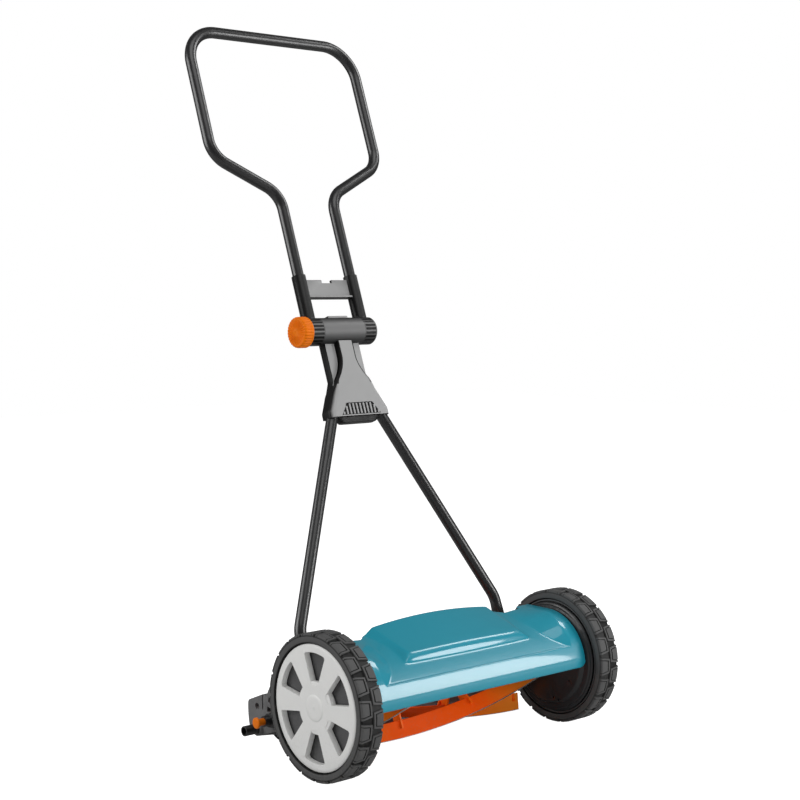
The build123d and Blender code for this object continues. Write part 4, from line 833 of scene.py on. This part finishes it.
@dataclass
class Hood(Assembly):
    """The pressed cover over the reel."""

    half_length: float = 222.0
    radius: float = 81.0
    wall: float = 2.0
    tilt: float = math.radians(35)
    back: float = 46.0
    notch_back: float = 34.5
    notch_in: float = 146.0
    notch_out: float = 189.0
    panel_angle: float = 25.5
    panel_step: float = 1.6
    panel_rear: Pair = (47.0, 79.0)
    panel_swell: float = 7.0
    crease_half: float = 0.9
    facet_round: float = 0.07
    bulge_front: Pair = (-36.0, 64.0)
    bulge_halves: Pair = (119.0, 122.0)
    bulge_edge: float = 90.0
    bulge_crest: float = 97.5
    bulge_arch: float = 2.0
    bulge_flare: float = 1.3
    bulge_slope: float = 1.15
    nose_slope: float = 3.4
    nose_knee: Pair = (5.0, 5.5)
    nose_round: float = 1.2
    flank_round: float = 4.0
    top_round: float = 1.3
    foot_round: float = 2.2
    end_drop: float = 2.2
    end_run: Pair = (219.5, 2.5)
    notch_runs: Pair = (9.0, 3.0)
    lip: float = 2.4
    lip_columns: int = 9
    corner: float = 11.0
    columns: int = 178
    rows: int = 112
    search_end: float = 110.0
    halvings: int = 40

    @property
    def turn(self) -> Pair:
        """Cosine and sine of the tilt."""
        return math.cos(self.tilt), math.sin(self.tilt)

    def upright(self, u: Points, w: Points) -> tuple[Points, Points]:
        """Y and Z of places along and over the tilted plane."""
        c, s = self.turn
        return u * c - w * s, u * s + w * c

    def line_height(self, a: Points, b: Points, u: Points) -> Points:
        """Height over the tilted plane of the line z = a + b y, from the turn of both axes."""
        c, s = self.turn
        return (a + u * (b * c - s)) / (c + b * s)

    def border(self, u: Points) -> Points:
        """Height of the round front and the flat top behind it, over the tilted plane."""
        flat = self.line_height(self.radius, 0.0, u)
        bow = np.sqrt(np.maximum(self.radius**2 - u**2, 0))
        return np.where(u < self.radius * math.sin(self.tilt), bow, flat)

    def panel(self, u: Points) -> Points:
        """Height of the sunk panel: the arc through its front crease, swollen middle and rear edge."""
        c, s = self.turn
        angle = math.radians(180 - self.panel_angle)
        low = np.array([math.cos(angle), math.sin(angle)]) * (self.radius - self.panel_step)
        chord = np.array(self.panel_rear) - low
        length = float(np.linalg.norm(chord))
        arc_r = (length**2 / 4 + self.panel_swell**2) / (2 * self.panel_swell)
        normal = np.array([-chord[1], chord[0]]) / length
        hub = (low + np.array(self.panel_rear)) / 2 + normal * (self.panel_swell - arc_r)
        hub_u, hub_w = hub[0] * c + hub[1] * s, -hub[0] * s + hub[1] * c
        return hub_w + np.sqrt(np.maximum(arc_r**2 - (u - hub_u) ** 2, 0))

    def height(self, x: Points, u: Points) -> Points:
        """Height of the outside over the tilted plane.

        The round border sinks to the panel past the front crease, rises again over a ramp
        facet to each round end, and the bulge stands on the panel: the lowest of its arched
        top, its two front slopes and its flared flanks, where that is higher.

        Args:
            x: distance across the mower.
            u: distance along the tilted plane.

        Returns:
            The height, with every crease rounded by a few millimetres.
        """
        wide, border = np.abs(x), self.border(u)
        y, z = self.upright(u, border)
        alpha = np.degrees(np.arctan2(z, -y))
        crease = ramp(alpha, self.panel_angle - self.crease_half, self.panel_angle + self.crease_half)
        sink = np.maximum(border - self.panel(u), 0) * crease
        inner = np.interp(alpha, [25, 29, 41, 54, 80, 110], [194, 187, 171, 160, 152, 150])
        outer = np.interp(alpha, [25, 35, 53, 80, 110], [196.5, 198, 196, 204, 206])
        run = (wide - inner) / (outer - inner)
        rise = soft_low(soft_high(run, 0 * run, self.facet_round), 0 * run + 1, self.facet_round)
        base = border - sink * (1 - rise)
        front_y, front_z = self.bulge_front
        depth = self.back - front_y
        edge_rise = (self.bulge_edge - front_z) / depth
        near, far = self.bulge_halves
        arch_rise = (self.bulge_crest - self.bulge_edge - self.bulge_arch) / depth
        crown = 1 - (x / np.mean(self.bulge_halves)) ** 2
        arch = self.bulge_arch * crown
        top_b = edge_rise + arch_rise * crown
        top = self.line_height(front_z + arch - top_b * front_y, top_b, u)
        knee_y, knee_z = self.nose_knee
        nose_a = front_z + arch - self.bulge_slope * front_y
        low_a = front_z - knee_z + arch - self.nose_slope * (front_y - knee_y)
        slopes = ((nose_a, self.bulge_slope), (low_a, self.nose_slope))
        nose = soft_low(*(self.line_height(a, b, u) for a, b in slopes), self.nose_round)
        flank_b = edge_rise + (far - near) / depth / self.bulge_flare
        flank_a = front_z - (wide - near) / self.bulge_flare - flank_b * front_y
        flank = self.line_height(flank_a, flank_b, u)
        bulge = soft_low(top, soft_low(nose, flank, self.flank_round), self.top_round)
        fall = self.end_drop * np.clip((wide - self.end_run[0]) / self.end_run[1], 0, 1) ** 2
        return soft_high(base, bulge, self.foot_round) - fall

    def rear(self, x: Points) -> Points:
        """Y of the rear edge: full over the bulge and the round ends, drawn in at two notches."""
        wide, (slow, fast) = np.abs(x), self.notch_runs
        inside = ramp(wide, self.notch_in - slow, self.notch_in + slow)
        inside = inside * ramp(wide, self.notch_out + fast, self.notch_out - fast)
        return self.back - (self.back - self.notch_back) * inside

    def build(self) -> None:
        """Builds the sheet: a grid of x and of the way from the lip to the rear edge, found by halving."""
        x = np.linspace(-self.half_length, self.half_length, self.columns * 2 + 1)[:, None]
        start = -self.radius * math.cos(self.tilt)
        low, high = np.full_like(x, start), np.full_like(x, self.search_end)
        for _ in range(self.halvings):
            mid = (low + high) / 2
            past = self.upright(mid, self.height(x, mid))[0] > self.rear(x)
            low, high = np.where(past, low, mid), np.where(past, mid, high)
        t = np.linspace(0, 1, self.rows)[None]
        u = start + (low - start) * t
        sheet = np.stack([x + 0 * u, *self.upright(u, self.height(x, u))], axis=-1)
        inset = np.clip((np.abs(x) - self.half_length + self.corner) / self.corner, 0, 1)
        lift = self.corner * (1 - np.sqrt(1 - 0.98 * inset**2))
        curl = np.radians(np.linspace(170, 12, self.lip_columns))[None]
        hub = -self.radius + self.lip
        roll = [x + 0 * curl, hub - self.lip * np.cos(curl) + 0 * x, -self.lip * np.sin(curl) + 0 * x]
        roll = np.stack(roll, axis=-1)
        low_rows = np.exp(-np.maximum(sheet[..., 2], 0) / self.corner)
        sheet[..., 2] += lift * low_rows
        roll[..., 2] += lift
        skin = Skin(self.layout).grid(np.concatenate([roll, sheet], axis=1), core=np.array([0, 0, 10.0]))
        piece = self.mould("pressed_hood", skin, 60, "hood")
        wall = piece.modifiers.new("wall", "SOLIDIFY")
        wall.thickness = self.wall * MM
        wall.offset = -1


@dataclass
class Reel(Assembly):
    """The cutting reel: its twisted blades."""

    radius: float = 72.8
    thickness: float = 2.6
    half_length: float = 200.0
    start: float = -53.4
    twist: float = 0.2553
    lean: float = 10.0
    count: int = 5
    stations: int = 81

    def blade(self, number: int) -> Points:
        """Grid of one blade: a strip section turned along X.

        The edge lies on the reel's radius at an angle that grows with x; the section goes one
        blade width inwards from it, off the radius by the lean, with a ground front edge.

        Args:
            number: which blade, from 0.

        Returns:
            Grid of stations by section points by 3.
        """
        x = np.linspace(-self.half_length, self.half_length, self.stations)[:, None]
        angle = np.radians(self.start + 360 / self.count * number + self.twist * x)
        inward = angle - math.radians(self.lean)
        edge = np.concatenate([-np.cos(angle), np.sin(angle)], axis=1) * self.radius + self.layout.reel[1:]
        deep = np.concatenate([np.cos(inward), -np.sin(inward)], axis=1)
        side = np.stack([deep[:, 1], -deep[:, 0]], axis=1)
        half = self.thickness / 2
        section = [
            (0.0, -half), (0.0, 0.3), (0.5, 0.75), (1.8, half), (14.0, half), (27.4, half),
            (28.0, half - 0.6), (28.0, 0.6 - half), (27.4, -half), (14.0, -half), (0.3, -half),
        ]
        rings = [np.concatenate([x, edge + deep * a + side * b], axis=1) for a, b in section]
        return np.stack(rings, axis=1)

    def build(self) -> None:
        """Builds the blades and rounds the star plates."""
        for number in range(self.count):
            skin = Skin(self.layout).shell(self.blade(number))
            self.mould(f"helix_blade_{number + 1}", skin, 30, f"blade_{number + 1}")
        for number in range(4):
            self.shop.ease(f"spider_{number + 1}", 0.5)


@dataclass(frozen=True)
class Greys:
    """Greys of the joint, with light and shade painted in; a pair is the grey in shade and what full light
    adds.

    The web's pair is the grey of its shaded sides and of its lit front.
    """

    front: Pair = (0.005, 0.345)
    rear: float = 0.05
    # Painted shade in the seams, along the shield's rims and under its lip
    seam: float = 0.008
    barrel: Pair = (0.010, 0.165)
    # Black painted on the grille's field as the shade of its slots
    grille: float = 0.002
    bar: float = 0.42
    web: Pair = (0.03, 0.30)
    sleeve: Pair = (0.006, 0.030)
    knuckle: Pair = (0.010, 0.135)
    # Black painted as the shade inside the knuckles' slots
    slot: float = 0.001
    cap: float = 0.06

    @staticmethod
    def lit(pair: Pair, share: Points) -> Points:
        """Grey of a pair under a share of the full light."""
        return pair[0] + pair[1] * share


@dataclass
class Handle(Assembly):
    """The handle: its bent tubes, the folding joint and the clamp knob."""

    greys: Greys = Greys()
    tube_r: float = 9.5
    lug_x: float = 207.5
    lug_t: float = 5.0
    lug_w: float = 25.0
    bend_s: float = 70.0
    bend_r: float = 45.0
    barrel_s: float = 545.5
    foot_top: float = 62.5
    foot_power: float = 5.0
    swell_span: Pair = (30.0, 58.0)
    socket: Pair = (47.7, -138.0)
    socket_depth: float = 43.0
    neck_x: float = 55.0
    neck_foot: float = 26.0
    shoulder: float = 242.0
    upright: Pair = (176.0, 305.0)
    top: float = 530.0
    corner_r: float = 60.0
    knuckle_end: float = 67.3
    knob_r: float = 25.5
    knob_length: float = 19.0
    bore_r: float = 5.05
    flute_depth: float = 1.25
    tooth_depth: float = 1.5
    flutes: int = 30
    columns: int = 32
    shield_n: float = 14.6
    shield_end: float = -148.5
    # The next two values lay a thin strip on the web beside the shield's neck, painted dark as a shade line
    shade_strip_n: float = 5.12
    groove: float = 1.7
    # Width of the band inside the shield's round corners that is painted dark as shade
    seam: float = 1.3
    lip_size: Pair = (46.0, 9.0)
    lip_power: float = 0.25
    grille_span: Pair = (-146.5, -126.5)
    grille_halves: Pair = (41.0, 30.0)
    grille_round: float = 5.0
    field_lift: float = 0.15
    bars: int = 11
    bar_half: float = 1.7
    bar_rise: float = 1.3
    slot_count: int = 22
    slot_half: float = 2.0
    slot_r: float = 23.12
    slot_span: Pair = (44.6, 65.6)
    web_half: float = 45.0

    def joint(self, x: Points, s: Points, n: Points) -> Points:
        """Points about the joint: across, up along the handle from the barrel and to the front."""
        return self.layout.on_handle(x, self.barrel_s + s, n)

    @property
    def behind(self) -> Points:
        """A point inside the joint housing, about the axle."""
        return self.joint(0.0, -90.0, -20.0)

    def lower_tube(self, side: Side) -> None:
        """Builds a lower tube, pressed flat at its foot: the section goes from a slot shape to a circle."""
        half_w, half_t = self.lug_w / 2, self.lug_t / 2
        mouth = np.array([self.socket[0], self.barrel_s + self.socket[1]])
        bend = np.array([self.lug_x, self.bend_s])
        top = mouth + (mouth - bend) / np.linalg.norm(mouth - bend) * self.socket_depth
        low = -half_w + half_w * (1 - np.cos(np.linspace(0.12, 1.57, 8)))
        low = np.concatenate([low, np.linspace(6, 62, 15)])
        corners = [(self.lug_x, self.foot_top), tuple(bend), tuple(top)]
        points, tangents = round_path(corners, [self.bend_r], 2.0)
        keep = points[:, 1] > self.foot_top
        points = np.concatenate([np.stack([0 * low + self.lug_x, low], axis=1), points[keep]])
        tangents = np.concatenate([np.tile([[0.0, 1.0]], (len(low), 1)), tangents[keep]])
        points[:, 0] *= side.value
        tangents[:, 0] *= side.value
        s = points[:, 1:]
        swell = ramp(s, *self.swell_span)
        end = np.sqrt(np.clip(1 - np.minimum(s, 0) ** 2 / half_w**2, 0.0004, 1))
        wide = (half_w * end) * (1 - swell) + self.tube_r * swell
        thick = half_t * (1 - swell) + self.tube_r * swell
        power = 2 / (self.foot_power * (1 - swell) + 2 * swell)
        cos, sin = squared(circle(self.columns)[None], power)
        rings = np.stack([thick * cos, wide * sin], axis=-1)
        skin = Skin(self.layout).shell(tube(self.layout, points, tangents, rings))
        self.mould("splayed_tube_" + side.tag, skin, 40, "lower_tube_" + side.tag)

    def loop(self) -> None:
        """Builds the handle loop: a circle carried along necks, shoulders, uprights and the grip bar."""
        t, (out, knee) = self.barrel_s, self.upright
        right = [(self.neck_x, t + self.neck_foot), (self.neck_x, t + self.shoulder), (out, t + knee)]
        corners = right + [(out, t + self.top), (-out, t + self.top)] + [(-x, s) for x, s in reversed(right)]
        bends, tops = [self.bend_r] * 2, [self.corner_r] * 2
        points, tangents = round_path(corners, bends + tops + bends, 2.5)
        turn = circle(self.columns)
        ring = np.stack([np.cos(turn), np.sin(turn)], axis=1) * self.tube_r
        rings = np.broadcast_to(ring, (len(points), *ring.shape))
        skin = Skin(self.layout).shell(tube(self.layout, points, tangents, rings))
        self.mould("loop_tube", skin, 40, "handle_loop")

    def knob(self) -> None:
        """Builds the clamp knob: a lathe profile with flutes pressed in round it and a serrated face."""
        x1 = -self.knuckle_end
        x0, r, hole = x1 - self.knob_length, self.knob_r, self.bore_r
        # Rows of x, radius, share of the flutes' depth and share of the teeth's depth
        profile = np.array([
            (x1, hole, 0, 0), (x1, r - 3.0, 0, 0), (x1, r - 1.2, 0, 0), (x1 - 0.5, r - 0.4, 0, 0),
            (x1 - 1.4, r, 0, 0), (x1 - 2.4, r, 0, 0), (x1 - 3.2, r, 0.7, 0), (x1 - 4.2, r, 1, 0),
            (x1 - 9, r, 1, 0), (x0 + 4.6, r, 1, 0), (x0 + 3.2, r - 0.2, 1, 0), (x0 + 1.8, r - 0.9, 1, 0),
            (x0 + 0.9, r - 2.0, 0.8, 0), (x0 + 0.3, r - 3.4, 0.4, 0.5), (x0 + 0.05, r - 4.6, 0, 1),
            (x0, r - 8.0, 0, 1), (x0, r - 12.0, 0, 0.9), (x0, r - 16.0, 0, 0.6), (x0 + 0.1, 6.0, 0, 0.25),
            (x0 + 0.2, 4.4, 0, 0), (x0 + 0.1, 3.6, 0, 0), (x0 + 0.1, 2.2, 0, 0), (x0 + 0.6, 1.6, 0, 0),
            (x0 + 0.6, 0.0, 0, 0),
        ])
        columns = self.flutes * 10
        turn = circle(columns)
        wave = np.abs(np.cos(turn * self.flutes / 2))
        flute = (wave**4)[None] * profile[:, 2:3] * self.flute_depth
        teeth = (0.5 + 0.5 * np.cos(turn * self.flutes))[None] * profile[:, 3:4] * self.tooth_depth
        grid, hub = lathe(profile[:, :2], self.layout.barrel, columns), self.layout.barrel[1:]
        arm = grid[..., 1:] - hub
        reach = np.linalg.norm(arm, axis=-1, keepdims=True)
        shrink = (reach - flute[..., None]) / np.maximum(reach, 0.01)
        grid[..., 1:] = hub + arm * np.where(reach > 0.01, shrink, 1)
        grid[..., 0] += teeth
        bore = lathe(np.array([(x0 + 5.0, 0.0), (x0 + 5.0, hole), (x1, hole)]), self.layout.barrel, columns)
        skin = Skin(self.layout).grid(grid, wrap=True).grid(bore, wrap=True)
        self.mould("fluted_knob", skin, 38, "clamp_knob")

    def outline(self, s: Points) -> tuple[Points, Points]:
        """Half width and corner radius of the shield at a distance up from the barrel."""
        rise = np.clip((-46 - s) / 40, 0, 1) ** 1.9
        half = 15.8 + 17.6 * rise + 0.5 * np.clip(-86 - s, 0, 52) + 3.0 * ramp(s, -88, -112)
        return half, 1.2 + 8.8 * ramp(s, -88, -110)

    def shield(self, skin: Skin) -> None:
        """Adds the shield's front: a narrow neck that flares into a foot whose flanks roll over the sockets.

        Every cross-section is a flat front with two round corners and two straight flanks; half width,
        corner radius and flank depth change along the handle by smooth steps.

        Args:
            skin: takes the surface.
        """
        s = np.concatenate([np.linspace(-20, -46, 4), np.linspace(-47.5, -86, 27), np.linspace(-87, -112, 20),
                            np.linspace(-115, self.shield_end, 10)])[:, None]
        half, bend = self.outline(s)
        low = self.shade_strip_n - 16.3 * ramp(s, -95, -106)
        turn = np.linspace(0, math.pi / 2, 9)[None]
        groove = self.groove * (1 - ramp(s, -84, -95))
        flat = 0 * bend
        x = [half + groove, half, half - bend + bend * np.cos(turn), half - bend - self.seam, flat]
        n = [low, low, self.shield_n - bend + bend * np.sin(turn), flat + self.shield_n, flat + self.shield_n]
        x, n = np.concatenate(x, axis=1), np.concatenate(n, axis=1)
        x = np.concatenate([x, -x[:, -2::-1]], axis=1)
        n = np.concatenate([n, n[:, -2::-1]], axis=1)
        skin.shell(self.joint(x, s, n), self.behind)
        cos, sin = squared(circle(40), self.lip_power)
        (ring_x, ring_n), taper = self.lip_size, np.array([1.0, 0.80, 0.76, 0.0])[:, None]
        drop = np.array([1.0, -8.2, -9.0, -9.0])[:, None]
        lip = self.joint(ring_x * taper * cos, self.shield_end + drop, ring_n * taper * sin - 1.5)
        skin.shell(lip, self.behind)

    def grille(self) -> Skin:
        """Builds the shield and its grille: a dark tapered field and a row of round-topped bars."""
        field_n = self.shield_n + self.field_lift
        foot, crown = self.grille_span
        low, high = self.grille_halves
        turn = np.linspace(0, math.pi / 2, 6)
        bend = self.grille_round
        corner = np.stack([high - bend + bend * np.sin(turn), crown - bend + bend * np.cos(turn)], axis=1)
        right = np.concatenate([corner, [[low, foot]]])
        ring = np.concatenate([right, right[::-1] * [-1, 1]])
        skin = Skin(self.layout)
        self.shield(skin)
        skin.lump(self.joint(ring[None, :, 0], ring[None, :, 1], field_n + np.array([0.0, -0.4])[:, None]))
        across = np.linspace(0, math.pi, 9)[None]
        rise = np.array([0.0, 1.0, 1.0, 0.0])[:, None]
        for x in np.linspace(-1, 1, self.bars) * (low - 4.5):
            reach = np.interp(abs(x) + 1.5, [high - bend / 2, low], [crown - 1.2, foot + 1.5])
            along = np.array([foot + 0.6, foot + 1.0, reach - 0.4, reach])[:, None]
            hump = field_n - 0.1 + rise * self.bar_rise * np.sin(across)
            skin.lump(self.joint(x + self.bar_half * np.cos(across), along, hump))
        return skin

    def slots(self) -> Skin:
        """Builds the dark mouths of the knuckles' slots: strips along X on the barrel's radius, black as
        painted shade in the slots.
        """
        skin = Skin(self.layout)
        span = np.linspace(-1, 1, 5) * self.slot_half / self.slot_r
        span, reach = np.append(span, span[::-1]), np.repeat([self.slot_r, self.slot_r - 0.5], 5)
        for turn in circle(self.slot_count, math.pi / self.slot_count):
            for side in Side:
                x = side.value * np.array(self.slot_span)[:, None]
                skin.lump(self.joint(x, reach * np.sin(turn + span), reach * np.cos(turn + span)))
        return skin

    def housing_tone(self, spot: Points, normal: Points) -> Points:
        """Grey of the joint housing, light and shade painted in: a grey front lit as it faces forward, dark
        flanks, a dark barrel with a painted highlight, painted shade along the seams, grey bars on a black
        field painted as the grille's shade.
        """
        (x, s, n), facing, greys = spot.T, normal[:, 2], self.greys
        half, bend = self.outline(s)
        # Painted light: the front lighter as it turns forward, a little lighter where faces look back
        grey = greys.lit(greys.front, ramp(facing, 0.45, 0.92)) + greys.rear * ramp(-facing, 0.6, 0.95)
        # Painted shade along the shield's round rims, on the strip beside the neck and under the lip
        rim = (np.abs(x) > half - bend - self.seam) & (s > -94) & (n > self.shield_n - 2)
        seam = rim | (np.abs(n - self.shade_strip_n) < 0.03) | (s < self.shield_end - 0.2)
        grey = np.where(seam, greys.seam, grey)
        # Painted highlight on the barrel where it faces forward and up
        barrel = greys.lit(greys.barrel, np.maximum(facing, 0) ** 3)
        grey = np.where((np.hypot(s, n) < 23.3) & (s > -25), barrel, grey)
        low, high = self.grille_span
        inside = (s > low - 0.5) & (s < high + 0.5)
        # Black painted on the grille's field as the shade in its slots
        grey = np.where(inside & (np.abs(n - self.shield_n - self.field_lift) < 0.04), greys.grille, grey)
        return np.where(inside & (n > self.shield_n + 0.22), greys.bar, grey)

    def bracket_tone(self, spot: Points, normal: Points) -> Points:
        """Grey of the upper bracket, light and shade painted in: a cross web pale on its lit front and dark
        on its sides, dark sleeves with a painted highlight, dark knuckles lit where they face forward, black
        painted shade in the slots.
        """
        (x, s, n), facing, greys = spot.T, normal[:, 2], self.greys
        # Painted highlight down the sleeves' front and right side
        sleeve = greys.lit(greys.sleeve, ramp(0.94 * facing + 0.34 * normal[:, 0], 0.2, 1.0))
        # Knuckles lighter where they face forward, as painted light
        grey = np.where(s > 24, sleeve, greys.lit(greys.knuckle, np.maximum(facing, 0) ** 3))
        # Web: lit and shaded greys of one plastic on its front and on its sides
        web = np.where(facing > 0.7, greys.web[1], greys.web[0])
        grey = np.where((np.abs(x) < self.web_half) & (s > 50), web, grey)
        reach = np.hypot(s, n)
        # Black painted shade inside the barrel and in the slots' mouths
        return np.where(((reach < 22.8) | (np.abs(reach - self.slot_r) < 0.03)) & (s < 30), greys.slot, grey)

    def build(self) -> None:
        """Builds the whole handle."""
        for side in Side:
            self.lower_tube(side)
        self.loop()
        self.knob()
        self.shop.tone(self.shop.ease("joint_housing", 0.9, 3, extra=self.grille()), self.housing_tone)
        self.shop.tone(self.shop.ease("upper_bracket", 0.3, 2, extra=self.slots()), self.bracket_tone)
        cap = self.shop.ease("barrel_cap", 0.8, 2, 20.0)
        self.shop.tone(cap, lambda spot, _: 0 * spot[:, 0] + self.greys.cap)


@dataclass
class Chassis(Assembly):
    """The side plates, the knife and the rear roller."""

    def build(self) -> None:
        """Rounds the edges of the chassis' solids."""
        for side in Side:
            self.shop.ease("side_plate_" + side.tag, 0.8, 2)
            self.shop.ease("roller_arm_" + side.tag, 0.8, 2)
            self.shop.ease("latch_knob_" + side.tag, 0.5, 2, 20.0)
        for node, width in (("bed_carrier", 0.6), ("bed_knife", 0.3), ("roller", 0.6), ("roller_axle", 0.4)):
            self.shop.ease(node, width)


@dataclass(frozen=True)
class Softbox:
    """An area light: direction from the hood, distance and size in metres, watts, and if gloss mirrors it."""

    name: str
    towards: Triple
    far: float
    size: Pair
    power: float
    shine: bool = True


LIGHTS = (
    Softbox("key", (0.61, -0.71, 0.225), 2.6, (0.66, 1.25), 29),
    Softbox("top", (0.62, -0.07, 0.75), 2.4, (0.6, 0.8), 13),
    Softbox("left", (-0.8, 0.45, 0.4), 2.6, (1.5, 1.5), 32),
    Softbox("front", (-0.25, -0.95, 0.16), 3.6, (2.6, 1.2), 36, shine=False),
    Softbox("above", (-0.15, -0.35, 0.95), 3.4, (2.4, 2.0), 32),
)


@dataclass
class Studio:
    """The pale floor, the soft lights and the camera."""

    layout: Layout
    azimuth: float = math.radians(-41.44)
    elevation: float = math.radians(4.02)
    eye: Triple = (-1.68716, -1.97133, 0.71534)
    lens: float = 72.33
    floor_half: float = 6.0
    floor_grey: float = 0.52
    surround: float = 0.15

    def camera(self) -> None:
        """Sets the camera at the photograph's viewing angle."""
        az, el = self.azimuth, self.elevation
        back = Vector((math.sin(az) * math.cos(el), -math.cos(az) * math.cos(el), math.sin(el)))
        right = Vector((math.cos(az), math.sin(az), 0))
        turn = Matrix((right, back.cross(right), back)).transposed().to_4x4()
        turn.translation = Vector(self.eye)
        view = bpy.data.cameras.new("view")
        view.lens, view.sensor_width = self.lens, 36.0
        view.clip_end = 50
        holder = add_object("view", view)
        holder.matrix_world = turn
        bpy.context.scene.camera = holder

    def softbox(self, box: Softbox) -> None:
        """Adds a soft area light."""
        light = bpy.data.lights.new(box.name, "AREA")
        light.shape = "RECTANGLE"
        (light.size, light.size_y), light.energy = box.size, box.power
        holder = add_object(box.name, light)
        way = Vector(box.towards).normalized()
        holder.location = Vector(self.layout.place((0, 0, 60.0))) + way * box.far
        holder.rotation_euler = way.to_track_quat("Z", "Y").to_euler()
        holder.visible_glossy = box.shine

    def backdrop(self) -> None:
        """Adds the floor and a white surround that lights softly; the camera sees both white."""
        world = bpy.data.worlds.new("surround")
        world.use_nodes = True
        plain = world.node_tree.nodes["Background"].inputs
        plain["Color"].default_value = (1, 1, 1, 1)
        Tree(world.node_tree).for_camera(plain["Strength"], self.surround)
        bpy.context.scene.world = world
        data, reach = bpy.data.meshes.new("floor"), self.floor_half
        data.from_pydata([(-reach, -reach, 0), (reach, -reach, 0), (reach, reach, 0), (-reach, reach, 0)], [],
                         [(0, 1, 2, 3)])
        pale = bpy.data.materials.new("pale_floor")
        pale.use_nodes = True
        tree, shader = Tree(pale.node_tree), pale.node_tree.nodes["Principled BSDF"]
        tree.fill(shader, {
            "Base Color": (*[self.floor_grey] * 3, 1), "Roughness": 0.9, "Specular IOR Level": 0.0,
            "Emission Color": (1, 1, 1, 1)})
        tree.for_camera(shader.inputs["Emission Strength"], 0.0)
        data.materials.append(pale)
        floor = add_object("floor", data)

    def build(self) -> None:
        """Sets up the studio."""
        self.camera()
        self.backdrop()
        for box in LIGHTS:
            self.softbox(box)
        bpy.context.scene.view_settings.view_transform = "Standard"


def main() -> None:
    """Builds every sub-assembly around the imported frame."""
    logging.basicConfig(level=logging.INFO, format="%(name)s: %(message)s")
    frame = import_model()
    layout = Layout.read(frame["joints"])
    shop = Workshop(frame, layout, Paintbox(layout))
    Studio(layout).build()
    shop.dress()
    for side in Side:
        Wheel(shop, side).build()
    Hood(shop).build()
    Reel(shop).build()
    Handle(shop).build()
    Chassis(shop).build()


if __name__ == "__main__":
    main()
